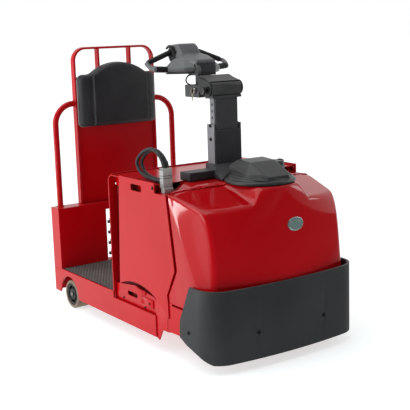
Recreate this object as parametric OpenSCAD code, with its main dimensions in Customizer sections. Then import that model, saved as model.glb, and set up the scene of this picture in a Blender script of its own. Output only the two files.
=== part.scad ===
// Stand-up battery tow tractor, millimetres.
// +X is forward (towards the bumper), +Y is the driver's left, +Z is up.
// The origin is on the floor under the middle of the whole machine.

/* [Body] */
// Width over the side plates
body_w = 840; // [700:10:1020]
// Length of the driver's platform, from the rear box to the bulkhead
platform_l = 575; // [480:5:690]
// Length of the battery bay, from the bulkhead to the hood seam
bay_l = 526; // [500:2:640]
// Length of the nose, from the hood seam to the front of the bumper
nose_l = 366; // [350:2:440]
// Height of the top of the battery bay
deck_z = 800; // [760:5:960]
// Height of the platform plate
floor_z = 197; // [185:1:235]

/* [Wheels] */
// Radius of the rear load wheels
load_r = 77; // [64:1:92]
// Width of the rear load wheels
load_w = 78; // [65:1:94]
// Radius of the steered drive wheel
drive_r = 127; // [110:1:140]

/* [Driver's place] */
// Height of the top of the backrest hoop
hoop_z = 1400; // [1250:10:1650]
// Width of the backrest hoop
hoop_w = 510; // [430:5:560]
// Height of the bottom of the backrest cushion
cushion_z = 970; // [900:5:1000]

/* [Steering] */
// Height of the steering handle's hub above the battery bay
handle_up = 462; // [430:2:600]
// Width of the steering handle over its two loops
handle_w = 476; // [440:4:600]

/* [Front] */
// Height of the top edge of the bumper
bumper_z = 377; // [320:1:440]
// Thickness of the bumper plate
bumper_t = 12; // [8:1:16]

/* [Hidden] */
$fn = 64;

red = "#b3121d";
charcoal = "#3c3d40";
grey = "#77777c";
black = "#1b1b1d";
steel = "#9a9da1";

// Lengths along the machine
coupler_reach = 75;
rear_box_d = 90;
total_l = coupler_reach + rear_box_d + platform_l + bay_l + nose_l;
rear_x = coupler_reach - total_l / 2;
box_x = rear_x + rear_box_d;
bulk_x = box_x + platform_l;
seam_x = bulk_x + bay_l;
nose_x = seam_x + nose_l;

// Widths
half_w = body_w / 2;
plate_t = 8;
in_w = half_w - plate_t;

// Heights
sill_z = 68;
sill_top = floor_z + 8;
gate_z = 173;
box_z = 540;

// Driver's platform and its wheels
wheel_x = rear_x + 173;
wheel_y = half_w - 12 - load_w / 2;
arch_r = load_r + 23;
rib_y = wheel_y - load_w / 2 - 16;

// Battery bay
fold_x = bulk_x + 397;
step_x = seam_x - 97;
step_z = deck_z - 45;
bulk_t = 8;
tray_z = 128;
tray_t = 20;
frame_t = 12;

// Hood
hood_t = 6;
hood_low_z = 258;
hood_front_r = 1150;
hood_back_x = seam_x - 84;
hood_back_half = half_w - 171;
hood_top_z = deck_z - 6;
shoulder_x = seam_x + 211;
shoulder_y = half_w - 42;
shoulder_z = deck_z - 90;
shoulder_fall = 0.284;
shoulder_lean = 0.166;
crown_y = 170;
crown_in = 0.21;
crown_out = 0.64;
cap_x = nose_x - 222;
cap_r = 164;

// Bumper
bumper_low_z = 47;
bumper_half = half_w + 10;
corner_r = 120;
crown_r = 2600;
valance_y = bumper_half - bumper_t - 4;
bolt_x = seam_x + 163;
bolt_y = 190;
front_bolt_z = 170;
side_bolt_z = 167;
bolt_r = 5;

// Steering column
post_x = seam_x - 92;
sleeve_d = 60;
sleeve_half = 79;
post_half = 68;
post_gap = 0.5;
foot_h = 58;
base_z = deck_z - 4;
sleeve_low = base_z + foot_h;
sleeve_top = base_z + 216;
post_low = base_z + 129;
handle_z = deck_z + handle_up;
head_z = handle_z - 102;
console_h = 58;
axis_x = post_x - 193;

// Handle: one of its two loops as points, grip ends and the tip between them
loop_out = handle_w / 2;
rear_in = [axis_x - 160, 84, handle_z + 109];
rear_out = [axis_x - 160, loop_out - 26, handle_z + 64];
tip_a = [axis_x - 148, loop_out - 11, handle_z + 58];
tip_b = [axis_x - 124, loop_out - 12, handle_z + 45];
front_out = [axis_x - 100, loop_out - 30, handle_z + 34];
front_in = [axis_x - 88, loop_out - 92, handle_z + 30];
core_r = 9;

// Battery connector and its two leads
plug_x = step_x + 8;
plug_y = -half_w + 62;
plug_z = step_z + 21;
plug_h = 92;
lead_r = 8;
lead_route = [
    [0, 88], [-9, 116], [-43, 150], [-99, 169], [-161, 157], [-213, 127], [-237, 92],
    [-215, 56], [-165, 36], [-99, 28], [-11, 28]
];

// Backrest and grab rails
bar_d = 38;
bar_t = 12;
hoop_x = rear_x + 6;
hoop_half = hoop_w / 2;
rail_y = half_w - 46;
rail_r = 16;
rail_bend = 110;
rail_join_z = 1098;

// Tow coupler
jaw_n = 4;
jaw_t = 16;
jaw_pitch = 62;
jaw_z = 210;
jaw_top = jaw_z + (jaw_n - 1) * jaw_pitch + jaw_t;
pin_r = 12.5;
pin_x = rear_x - 42;

// Drive unit
plate_z = 300;
drive_w = 90;
axle_r = 10;

// ---- general shapes ----

// A flat shape drawn in x and z, made into a plate that reaches from y0 to y0 + t
module plate_xz(y0, t) {
    translate([0, y0 + t, 0]) rotate([90, 0, 0]) linear_extrude(t) children();
}

// A flat shape drawn in y and z, made into a plate that reaches from x0 to x0 + t
module plate_yz(x0, t) {
    translate([x0, 0, 0]) rotate([90, 0, 90]) linear_extrude(t) children();
}

// The right-hand piece as drawn (side -1) or its mirror image (side 1)
module on_side(side) {
    if (side < 0) children();
    else mirror([0, 1, 0]) children();
}

// A round bar from p to q with flat ends
module rod(p, q, r) {
    d = q - p;
    len = norm(d);
    translate(p) rotate([0, acos(d.z / len), atan2(d.y, d.x)]) cylinder(h = len, r = r);
}

// The same bar a tenth longer at either end, to be cut out of a sleeve round it
module longer_rod(p, q, r) {
    rod(p - 0.1 * (q - p), q + 0.1 * (q - p), r, $fn = 24);
}

// A chain of smooth links through the given points, all of radius r
module chain(points, r) {
    for (k = [1 : len(points) - 1])
        hull() {
            translate(points[k - 1]) sphere(r, $fn = 20);
            translate(points[k]) sphere(r, $fn = 20);
        }
}

// A box with its vertical edges rounded
module round_box(size, r) {
    linear_extrude(size.z) round_rect([size.x, size.y], r);
}

// A rectangle about the origin with round corners
module round_rect(size, r) {
    square([size.x - 2 * r, size.y], center = true);
    square([size.x, size.y - 2 * r], center = true);
    for (x = [-1, 1], y = [-1, 1])
        translate([x * (size.x / 2 - r), y * (size.y / 2 - r)]) circle(r);
}

// Where the straight side of a nose ends and its round corner begins
function corner_x(front, half, corner, crown) =
    front - crown + sqrt(pow(crown - corner, 2) - pow(half - corner, 2));

// Plan of a nose: two round corners joined by a long front arc that meets them smoothly
module nose_plan(front, half, corner, crown, back, facets = 360) {
    centre = front - crown;
    cx = corner_x(front, half, corner, crown);
    cy = half - corner;
    bend = atan2(cy, cx - centre);
    tip = centre + crown * cos(bend);
    for (side = [-1, 1]) translate([cx, side * cy]) circle(corner, $fn = facets / 4);
    intersection() {
        translate([centre, 0]) circle(crown, $fn = facets);
        polygon([
            [cx, -cy], [tip, -crown * sin(bend)], [front + 10, -crown * sin(bend)],
            [front + 10, crown * sin(bend)], [tip, crown * sin(bend)], [cx, cy]
        ]);
    }
    polygon([[back, -half], [cx, -half], [cx, half], [back, half]]);
}

// ---- chassis ----

// Sill beside the platform: the wheel arch at the rear, a lower top edge beside the battery
module side_sill() {
    color(red) plate_xz(-half_w, plate_t) difference() {
        polygon([
            [rear_x, sill_z + 4], [rear_x, sill_top], [bulk_x, sill_top],
            [bulk_x, gate_z], [fold_x, gate_z], [fold_x, sill_z], [wheel_x, sill_z]
        ]);
        translate([wheel_x, load_r]) {
            circle(arch_r);
            polygon([[-119, -20], [-70, 70], [70, 70], [112, -20]]);
        }
    }
}

// Battery side panel with its hand slot, the arch over the gate and the leg ahead of it
module battery_panel() {
    gap = 3;
    color(red) plate_xz(-half_w, plate_t) difference() {
        polygon([
            [bulk_x + 71, 230], [bulk_x + 110, deck_z + 3], [step_x, deck_z + 3], [step_x, step_z + 2],
            [seam_x - gap, step_z + 2], [seam_x + 51 - gap, 420], [seam_x - 18 - gap, 296],
            [seam_x - 12 - gap, 250], [seam_x - 12 - gap, 121], [seam_x - 64, 112],
            [seam_x - 102, sill_z - 2], [fold_x + 2, sill_z - 2], [fold_x + 2, 230]
        ]);
        translate([bulk_x + 234, -100]) circle(397, $fn = 180);
        translate([bulk_x + 266, deck_z - 38]) round_rect([98, 32], 12);
        translate([step_x - 14, deck_z - 14]) circle(5);
    }
}

// Inner battery gates on the tray, set back behind the panels, each with a hand slot
module battery_gates() {
    color(red)
        for (side = [-1, 1])
            on_side(side) plate_xz(-half_w + plate_t + 8, 5) difference() {
                polygon([
                    [bulk_x + 12, tray_z + tray_t], [bulk_x + 12, 250], [bulk_x + 190, 272],
                    [fold_x - 24, 250], [fold_x - 4, 205], [fold_x - 4, tray_z + tray_t]
                ]);
                translate([bulk_x + 165, 222]) round_rect([92, 22], 10);
            }
}

// Platform plate with the rear cross beam and the two ribs that carry the axles
module platform_plate() {
    color(red) {
        translate([rear_x, -in_w, floor_z - 10]) cube([bulk_x - rear_x, 2 * in_w, 10]);
        difference() {
            translate([rear_x, -in_w, sill_z + 4]) cube([12, 2 * in_w, floor_z - 14 - sill_z]);
            for (y = [-32, 32], z = [110, 160])
                translate([rear_x - 1, y, z]) rotate([0, 90, 0]) cylinder(h = 14, r = 6);
        }
        for (side = [-1, 1])
            plate_xz(side * (rib_y - 6) - 6, 12) difference() {
                polygon([
                    [rear_x + 12, 90], [rear_x + 12, floor_z - 10],
                    [bulk_x, floor_z - 10], [bulk_x, 90], [wheel_x + 60, 90],
                    [wheel_x + 40, 60], [wheel_x - 40, 60], [wheel_x - 60, 90]
                ]);
                translate([wheel_x, load_r]) circle(axle_r);
            }
    }
}

// Ribbed rubber mat on the platform
module floor_mat() {
    color(charcoal)
        translate([box_x + 2, -in_w + 2, floor_z]) cube([platform_l - 4, 2 * in_w - 4, 9]);
}

// Rear box that carries the backrest, open in the middle above the coupler
module rear_box() {
    open_half = 127;
    open_top = box_z - 40;
    wall = 5;
    color(red) difference() {
        translate([rear_x, -half_w, sill_top]) cube([rear_box_d, body_w, box_z - sill_top]);
        // the opening through which the driver reaches the coupler
        translate([rear_x - 1, -open_half, sill_top - 1])
            cube([rear_box_d + 2, 2 * open_half, open_top - sill_top + 1]);
        // the hollow inside of each half, open below
        for (side = [-1, 1])
            on_side(side)
                translate([rear_x + wall, -half_w + wall, sill_top - 1])
                    cube([
                        rear_box_d - 2 * wall, half_w - open_half - 2 * wall, box_z - sill_top - wall + 1
                    ]);
        // and of the bridge above the opening, open towards the rear
        translate([rear_x - 1, -open_half - wall + 1, open_top + wall])
            cube([rear_box_d - wall + 1, 2 * (open_half + wall - 1), box_z - open_top - 2 * wall]);
    }
}

// Bulkhead between the driver and the battery, its top corners rounded
module bulkhead() {
    r = 35;
    color(red) plate_yz(bulk_x, bulk_t) union() {
        translate([-in_w + 1, sill_z + 20]) square([2 * in_w - 2, sill_top]);
        translate([-half_w, sill_top]) square([body_w, deck_z - r - sill_top]);
        translate([-half_w + r, sill_top]) square([body_w - 2 * r, deck_z - sill_top]);
        for (side = [-1, 1]) translate([side * (half_w - r), deck_z - r]) circle(r);
    }
}

// Tray under the battery
module battery_tray() {
    color(red)
        translate([bulk_x + bulk_t, -in_w, tray_z]) cube([step_x - 8 - bulk_x - bulk_t, 2 * in_w, tray_t]);
}

// Battery, one block
module battery() {
    color(charcoal)
        translate([bulk_x + bulk_t + 12, -half_w + 38, tray_z + tray_t])
            cube([350, body_w - 76, deck_z - 60 - tray_z - tray_t]);
}

// Steel lid over the battery, notched where the leads go down
module battery_cover() {
    x0 = bulk_x + bulk_t + 2;
    color(red) difference() {
        union() {
            translate([x0, -in_w + 2, deck_z - 10]) cube([step_x - 10 - x0, 2 * in_w - 4, 4]);
            for (side = [-1, 1])
                on_side(side) translate([x0, -half_w + 38, deck_z - 59.7]) cube([step_x - 10 - x0, 3, 50]);
        }
        translate([step_x - 38, -half_w + 62, deck_z - 12]) round_box([34, 50, 8], 14);
    }
}

// Welded front frame: front bulkhead, column shelf, drive plate with its bore, side valances,
// and the plate behind the bumper
module front_frame() {
    wall_x = step_x - 8;
    valance_x = corner_x(nose_x, bumper_half, corner_r, crown_r) + 23;
    color(red) {
        // bulkhead ahead of the battery, with the shelf and the raised seat of the column
        translate([wall_x, -in_w, tray_z]) cube([frame_t, 2 * in_w, step_z - tray_z]);
        translate([wall_x, -in_w, step_z - 10]) cube([seam_x - 5 - wall_x, 2 * in_w, 10]);
        translate([wall_x, -275, step_z]) cube([80, 550, hood_top_z - hood_t - 0.5 - step_z]);
        translate([wall_x, -hood_back_half, step_z])
            cube([hood_back_x - 1 - wall_x, 2 * hood_back_half, base_z - step_z]);
        // drive plate
        difference() {
            translate([0, 0, plate_z]) linear_extrude(frame_t)
                nose_plan(nose_x - 50, half_w - 60, 90, hood_front_r, wall_x);
            translate([cap_x, 0, plate_z - 1]) cylinder(h = 14, r = 131);
        }
        // valances beside the wheel space, each with a pad drilled for the bumper
        for (side = [-1, 1])
            on_side(side) {
                plate_xz(-valance_y, plate_t) difference() {
                    polygon([[seam_x - 12, 121], [seam_x - 12, 250], [valance_x, 250], [valance_x, 128]]);
                    translate([bolt_x, side_bolt_z]) circle(bolt_r);
                }
                plate_xz(-valance_y - 3.7, 3.7) difference() {
                    translate([bolt_x - 30, side_bolt_z - 30]) square(60);
                    translate([bolt_x, side_bolt_z]) circle(bolt_r);
                }
                translate([wall_x, -valance_y + plate_t, 230]) cube([valance_x - wall_x, 80, 20]);
                translate([wall_x, -valance_y + 66, 250])
                    cube([valance_x - 20 - wall_x, frame_t, plate_z - 250]);
            }
        // plate and pads that the front of the bumper is bolted to
        difference() {
            union() {
                translate([nose_x - 65, -250, 120]) cube([frame_t, 500, plate_z + frame_t - 120]);
                intersection() {
                    for (side = [-1, 1])
                        translate([nose_x - 54, side * bolt_y - 30, front_bolt_z - 30]) cube([60, 60, 60]);
                    translate([0, 0, front_bolt_z - 40]) linear_extrude(80) bumper_inside(0.3);
                }
            }
            bumper_bolts(bolt_r, 70);
        }
    }
}

// ---- hood ----

// Height of the sloping shoulder plane at a place in plan
function shoulder_at(x, y) = shoulder_z - shoulder_fall * (x - shoulder_x) - shoulder_lean * (y - shoulder_y);

// Half-width of the crown under the cap, whose flanks lean out and converge to the front
function crown_at(x, z) = crown_y - crown_in * (x - seam_x) - crown_out * (z - hood_top_z);

// Level sections of the moulded form, drawn inwards by inset
// columns: height, front, half-width, corner radius, radius of the front
function hood_levels(inset) = [
    [hood_low_z - 2 * inset, nose_x - 13, in_w, 45, hood_front_r],
    [bumper_z + 35, nose_x - 21, in_w, 45, 1050],
    [shoulder_z + 5, nose_x - 45, in_w - 2, 45, 700]
];

// The smooth form before its top is cut: level sections drawn up to a disc under the cap
module hood_loft(inset) {
    hull() {
        for (row = hood_levels(inset))
            translate([0, 0, row[0]]) linear_extrude(0.1)
                nose_plan(row[1] - inset, row[2] - inset, row[3] - inset, row[4] - inset, seam_x + 40, 128);
        // flush with the side panels along the seam, up to the level of the deck
        for (side = [-1, 1], z = [hood_low_z - 2 * inset, hood_top_z - inset])
            translate([hood_back_x - 20, side * (half_w - inset - 0.5), z - 0.5]) cube(1, center = true);
        translate([cap_x, 0, hood_top_z - inset - 1]) cylinder(h = 1, r = cap_r + 5 - inset, $fn = 128);
    }
}

// Everything under the hood's top planes: two sloping shoulders and the crown between them
module hood_top_cut(drop) {
    x0 = hood_back_x - 30;
    x1 = nose_x;
    y1 = body_w;
    z0 = hood_low_z - 40;
    for (side = [-1, 1])
        on_side(side) slab(
            [[x0, 0], [x1, 0], [x1, -y1], [x0, -y1]], z0,
            [for (p = [[x0, 0], [x1, 0], [x1, y1], [x0, y1]]) shoulder_at(p.x, p.y) - drop]
        );
    crown_low = shoulder_z - 60;
    crown_top = hood_top_z + 20;
    polyhedron(
        [for (z = [crown_low, crown_top], p = [[x0, -1], [x1, -1], [x1, 1], [x0, 1]])
            [p.x, p.y * (crown_at(p.x, z) - drop), z]],
        [[0, 1, 2, 3], [4, 7, 6, 5], [0, 4, 5, 1], [1, 5, 6, 2], [2, 6, 7, 3], [3, 7, 4, 0]]
    );
}

// A block on the given corners in plan, from z0 up to its own height at each corner
module slab(plan, z0, tops) {
    polyhedron(
        concat([for (p = plan) [p.x, p.y, z0]], [for (k = [0 : 3]) [plan[k].x, plan[k].y, tops[k]]]),
        [[3, 2, 1, 0], [4, 5, 6, 7], [0, 1, 5, 4], [1, 2, 6, 5], [2, 3, 7, 6], [3, 0, 4, 7]]
    );
}

// Everything to the rear of the hood seam, moved forward by gap
module seam_side(gap) {
    polygon([
        [seam_x - 200, 2000], [seam_x + gap, 2000], [seam_x + gap, step_z + 8], [seam_x + 51 + gap, 420],
        [seam_x - 18 + gap, 296], [seam_x - 12 + gap, 253 + gap], [seam_x + 500, 253 + gap],
        [seam_x + 500, 0], [seam_x - 200, 0]
    ]);
}

// Plan of the hood's top: its rear edge sweeps back from the side seams to the column's foot
module hood_top_plan(gap) {
    edge = [[0, 0], [12, 32], [32, 76], [66, 131], [84, 171]];
    polygon(concat(
        [for (k = [0 : 4]) [seam_x + gap - edge[k].x, edge[k].y - half_w]],
        [for (k = [4 : -1 : 0]) [seam_x + gap - edge[k].x, half_w - edge[k].y]],
        [[nose_x, half_w], [nose_x, -half_w]]
    ));
}

// One shell with a large opening under the cap and a tongue that reaches back round the column
module hood() {
    gap = 3;
    color(red) difference() {
        intersection() {
            hood_loft(0);
            hood_top_cut(0);
        }
        intersection() {
            hood_loft(hood_t);
            hood_top_cut(hood_t);
        }
        translate([cap_x, 0, hood_top_z - 20]) cylinder(h = 40, r = cap_r - 40);
        difference() {
            plate_xz(-half_w - 50, body_w + 100) seam_side(gap);
            translate([0, 0, step_z + 8]) linear_extrude(60) hood_top_plan(gap);
        }
    }
}

// Round domed cap over the drive motor with its wedge-shaped cowl and a small round boss
module motor_cap() {
    color(charcoal) difference() {
        union() {
            translate([cap_x, 0, hood_top_z]) rotate_extrude($fn = 128)
                polygon([
                    [0, 0.3], [cap_r, 0.3], [cap_r, 10], [cap_r - 5, 16], [cap_r - 14, 18],
                    [cap_r - 26, 27], [cap_r - 60, 38], [0, 42]
                ]);
            cowl(0);
            translate([cap_x + 12, 84, hood_top_z + 14]) cylinder(h = 64, r = 34);
        }
        cowl(5);
        translate([cap_x, 0, hood_top_z - 1]) cylinder(h = 18, r = cap_r - 30);
    }
}

// The cowl: upright at the rear, its back falls and widens to the low front
module cowl(inset) {
    z0 = hood_top_z + 5;
    // columns: place from the cap's middle, half-width, height, radius of the upright
    hull()
        for (row = [
                 [-112, 74, 70, 12], [-70, 62, 98, 12], [20, 60, 92, 12],
                 [40, 104, 40, 12], [116, 52, 46, 20]
             ],
             side = [-1, 1])
            translate([cap_x + row[0] - sign(row[0]) * inset, side * (row[1] - inset), z0])
                cylinder(h = row[2] - inset, r = row[3], $fn = 32);
}

// ---- bumper ----

module bumper() {
    color(charcoal) difference() {
        intersection() {
            translate([0, 0, bumper_low_z]) linear_extrude(bumper_z - bumper_low_z) difference() {
                nose_plan(nose_x, bumper_half, corner_r, crown_r, seam_x);
                bumper_inside(0);
            }
            plate_xz(-bumper_half - 1, 2 * bumper_half + 2) bumper_side();
        }
        bumper_bolts(bolt_r, 60);
    }
}

// Plan of the space inside the bumper, drawn in by gap
module bumper_inside(gap) {
    wall = bumper_t + gap;
    nose_plan(nose_x - wall, bumper_half - wall, corner_r - wall, crown_r - wall, seam_x - 1);
}

// Side view of the bumper: the rear edge leans forward and the lower edge sweeps up to it
module bumper_side() {
    polygon([
        [seam_x + 89, 129], [seam_x + 94, 205], [seam_x + 177, bumper_z], [nose_x + 10, bumper_z],
        [nose_x + 10, bumper_low_z], [nose_x - 60, bumper_low_z], [nose_x - 134, 80], [nose_x - 222, 104]
    ]);
}

// Bolt holes of the bumper: two in front, one on each side
module bumper_bolts(r, depth) {
    for (side = [-1, 1]) {
        translate([nose_x + 5 - depth, side * bolt_y, front_bolt_z]) rotate([0, 90, 0])
            cylinder(h = depth, r = r);
        translate([bolt_x, side * (bumper_half + 5), side_bolt_z]) rotate([90 * side, 0, 0])
            cylinder(h = 22, r = r);
    }
}

// ---- steering column ----

// Cross bar and raked foot under the column
module column_base() {
    color(charcoal) {
        translate([post_x - 38, -255, base_z]) cube([80, 510, 39]);
        difference() {
            hull() {
                translate([post_x - 64, -92, base_z]) cube([70, 184, foot_h]);
                translate([post_x + 100, -128, base_z]) cube([20, 256, 8]);
            }
            translate([cap_x, 0, base_z - 1]) cylinder(h = 80, r = cap_r + 2);
        }
    }
}

// Lower half of the column: a square sleeve
module column_sleeve() {
    color(charcoal) difference() {
        translate([post_x - sleeve_d, -sleeve_half + 4, sleeve_low])
            cube([sleeve_d, 2 * sleeve_half - 8, sleeve_top - sleeve_low]);
        translate([post_x - sleeve_d + 5, -post_half - post_gap, base_z])
            cube([sleeve_d - 10, 2 * (post_half + post_gap), sleeve_top - base_z + 1]);
    }
}

// Light grey cheeks on both sides of the sleeve with their clamp bolts
module sleeve_cheeks() {
    color(grey)
        for (side = [-1, 1])
            on_side(side) difference() {
                translate([post_x - sleeve_d, -sleeve_half, sleeve_low])
                    cube([sleeve_d - 4, 4, sleeve_top + 28 - sleeve_low]);
                for (z = [sleeve_top - 43, sleeve_top + 21])
                    translate([post_x - 32, -sleeve_half - 1, z]) rotate([-90, 0, 0])
                        cylinder(h = 6, r = 6.5);
            }
}

// Upper half of the column: slides in the sleeve
module column_post() {
    color(charcoal)
        translate([post_x - sleeve_d + 7, -post_half + 4, post_low])
            cube([sleeve_d - 14, 2 * post_half - 8, head_z - post_low]);
}

// Light grey rails on the post with the row of height holes
module post_rails() {
    color(grey)
        for (side = [-1, 1])
            on_side(side) difference() {
                translate([post_x - 48, -post_half, post_low]) cube([34, 4, head_z - post_low]);
                for (k = [0 : 6])
                    translate([post_x - 28, -post_half - 1, head_z - 27 - 33 * k]) rotate([-90, 0, 0])
                        cylinder(h = 6, r = 4.5);
            }
}

// Steering head: its top slopes down to the front, its lower front edge is rounded
module column_head() {
    r = 16;
    half = 84;
    z = head_z + 11;
    color(charcoal) plate_xz(-half, 2 * half) union() {
        polygon([
            [post_x - 62, z], [post_x - r, z], [post_x, z + r], [post_x, z + 62 - r],
            [post_x - r, z + 65], [post_x - 98, z + 94], [post_x - 118, z + 78], [post_x - 118, z + 30]
        ]);
        translate([post_x - r, z + r]) circle(r);
        translate([post_x - r, z + 62 - r]) circle(r);
        translate([post_x - 62, z - 11]) square([60, 12]);
    }
}

// Black end caps of the steering head
module head_end_caps() {
    half = 84;
    z = head_z + 11;
    color(black)
        for (side = [-1, 1])
            on_side(side) translate([0, -half - 10, 0]) plate_xz(0, 10) union() {
                translate([post_x - 34, z + 34]) circle(36);
                polygon([
                    [post_x - 110, z + 34], [post_x - 100, z + 88], [post_x - 34, z + 70], [post_x - 34, z - 2]
                ]);
            }
}

// Console to the rear of the head
module key_console() {
    color(charcoal)
        translate([post_x - 238, -80, head_z]) cube([120, 160, console_h]);
}

// Key switch with its key, and the round knob
module console_controls() {
    color(steel) {
        translate([post_x - 150, -80, head_z + 34]) rotate([90, 0, 0]) cylinder(h = 6, r = 11);
        translate([post_x - 152, -96, head_z + 10]) cube([4, 12, 28]);
    }
    color(black) translate([post_x - 62, -84 - 10, head_z + 40]) rotate([90, 0, 0]) {
        cylinder(h = 12, r = 10);
        translate([0, 0, 12]) cylinder(h = 12, r = 20);
    }
}

// ---- steering handle ----

// Hub of the handle: the boss on the head, the block the casting is bolted to, the under-cover
module handle_hub() {
    color(black) {
        translate([axis_x, 0, head_z + console_h + 0.3])
            cylinder(h = handle_z - head_z - console_h - 0.3, r = 38);
        hub_block();
        translate([0, 0, handle_z + 8.3]) linear_extrude(5.5) hull()
            for (side = [-1, 1]) {
                translate([axis_x - 20, side * 74]) circle(14);
                translate([front_in.x, side * front_in.y]) circle(11);
                translate([axis_x - 120, side * 40]) circle(12);
            }
    }
}

module hub_block() {
    translate([axis_x - 8, 0, handle_z]) round_box([82, 116, 56], 12);
}

// A ball of the handle's casting, placed from the hub
module knuckle(x, y, z, r) {
    translate([axis_x + x, y, handle_z + z]) sphere(r, $fn = 20);
}

// Cast shell: a pod at the rear, a back that falls to the front edge, and two wings that taper
// into the loops
module handle_body() {
    color(grey) difference() {
        union() {
            hull()
                for (side = [-1, 1]) {
                    knuckle(-192, side * 42, 126, 20);
                    knuckle(-142, side * 42, 130, 20);
                    knuckle(-112, side * 44, 96, 18);
                    knuckle(-180, side * 48, 88, 18);
                }
            hull()
                for (side = [-1, 1]) {
                    knuckle(-128, side * 54, 88, 20);
                    knuckle(-70, side * 70, 72, 20);
                    knuckle(18, side * 44, 62, 14);
                    knuckle(18, side * 46, 34, 14);
                    knuckle(-104, side * 60, 34, 18);
                }
            for (side = [-1, 1])
                on_side(-side) {
                    hull() {
                        knuckle(-70, 70, 72, 20);
                        knuckle(18, 46, 34, 14);
                        knuckle(-16, 92, 30, 16);
                        knuckle(-104, 94, 64, 16);
                        knuckle(-104, 98, 36, 18);
                    }
                    hull() {
                        knuckle(-16, 92, 30, 16);
                        knuckle(-104, 94, 64, 16);
                        knuckle(-104, 98, 36, 18);
                        translate(front_in + [0, -14, 4]) sphere(15, $fn = 20);
                        translate(front_in) sphere(15, $fn = 20);
                    }
                    rod(rear_in, rear_out, core_r, $fn = 24);
                    rod(front_in, front_out, core_r, $fn = 24);
                    chain([rear_out, tip_a, tip_b], 11);
                    hull() {
                        translate(tip_b) sphere(11, $fn = 20);
                        translate(front_out) sphere(16, $fn = 20);
                    }
                }
        }
        hub_block();
    }
}

// Rubber grips of the two loops, each with the guard at its inner end that carries the thumb lever
module handle_grips() {
    color(black)
        for (side = [-1, 1])
            on_side(-side) {
                difference() {
                    rod(rear_in, rear_out, 13);
                    longer_rod(rear_in, rear_out, core_r);
                }
                difference() {
                    rod(front_in, front_out, 15);
                    longer_rod(front_in, front_out, core_r);
                }
                hull() {
                    knuckle(-164, 70, 126, 13);
                    knuckle(-134, 70, 88, 12);
                    knuckle(-158, 76, 76, 12);
                    knuckle(-180, 74, 108, 12);
                }
            }
}

// ---- battery connector ----

// Mated halves of the battery connector on its bracket
module connector() {
    color("#c9cccb") {
        translate([plug_x - 15, plug_y - 25, plug_z]) cube([30, 50, plug_h]);
        translate([plug_x - 7, plug_y - 25, step_z]) cube([30, 50, plug_z - step_z]);
    }
}

// Two leads side by side, looped from the connector's top round to its rear
module battery_leads() {
    path = smooth(lead_route, 3);
    color(black)
        for (side = [-1, 1])
            translate([plug_x, plug_y + side * (lead_r + 1), plug_z]) tube_xz(path, lead_r, 8);
}

// A flat curve through the given points, each stretch cut into n steps
function smooth(points, n) =
    let (last = len(points) - 1)
    concat([for (k = [0 : last - 1], j = [0 : n - 1])
        let (
            a = points[max(k - 1, 0)],
            b = points[k],
            c = points[k + 1],
            d = points[min(k + 2, last)],
            t = j / n
        )
        0.5 * (
            2 * b + t * (c - a) + t * t * (2 * a - 5 * b + 4 * c - d)
            + t * t * t * (3 * b - a - 3 * c + d)
        )
    ], [points[last]]);

// A round tube with the given number of sides, swept along a flat path of x and z
module tube_xz(path, r, sides) {
    last = len(path) - 1;
    rings = [for (k = [0 : last], j = [0 : sides - 1])
        let (
            d = path[min(k + 1, last)] - path[max(k - 1, 0)],
            out = [-d.y, d.x] / norm(d), turn = 360 * j / sides
        )
        [path[k].x + r * cos(turn) * out.x, r * sin(turn), path[k].y + r * cos(turn) * out.y]
    ];
    polyhedron(rings, concat(
        [[for (j = [0 : sides - 1]) j]],
        [for (k = [0 : last - 1], j = [0 : sides - 1])
            let (a = k * sides + j, b = k * sides + (j + 1) % sides)
            [a, a + sides, b + sides, b]],
        [[for (j = [sides - 1 : -1 : 0]) last * sides + j]]
    ));
}

// ---- driver's backrest ----

// Hoop of flat bar with a sheet panel between its sides and two short bars inside its top
module backrest_frame() {
    corner = 75;
    color(red) {
        plate_yz(hoop_x, bar_d) {
            difference() {
                hoop_outline(hoop_half, hoop_z, corner);
                hoop_outline(hoop_half - bar_t, hoop_z - bar_t, corner - bar_t);
            }
            for (side = [-1, 1]) translate([side * 100 - bar_t / 2, hoop_z - 160]) square([bar_t, 155]);
        }
        translate([hoop_x + 12, -hoop_half + bar_t, box_z])
            cube([14, 2 * (hoop_half - bar_t), hoop_z - 160 - box_z]);
    }
}

// Outline of the hoop: straight sides and a top with round corners
module hoop_outline(half, top, corner) {
    translate([-half, box_z]) square([2 * half, top - corner - box_z]);
    translate([-half + corner, box_z]) square([2 * half - 2 * corner, top - box_z]);
    for (side = [-1, 1]) translate([side * (half - corner), top - corner]) circle(corner);
}

// Padded backrest: wings at the sides, a round top in the middle, front edges swept back
module backrest_cushion() {
    half = hoop_half - 10;
    depth = 72;
    x0 = hoop_x + bar_d + 0.5;
    wing_z = cushion_z + 280;
    rise = 62;
    dome_half = 172;
    dome_r = (dome_half * dome_half + rise * rise) / (2 * rise);
    color(charcoal) intersection() {
        plate_yz(x0, depth) {
            translate([0, cushion_z + 140]) round_rect([2 * half, 280], 20);
            intersection() {
                translate([0, wing_z + rise - dome_r]) circle(dome_r, $fn = 128);
                translate([-dome_half, wing_z - 60]) square([2 * dome_half, 200]);
            }
        }
        translate([0, 0, cushion_z - 10]) linear_extrude(500)
            polygon([
                [x0 - 1, -half - 1], [x0 + 14, -half - 1], [x0 + depth, -180],
                [x0 + depth, 180], [x0 + 14, half + 1], [x0 - 1, half + 1]
            ]);
    }
}

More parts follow.
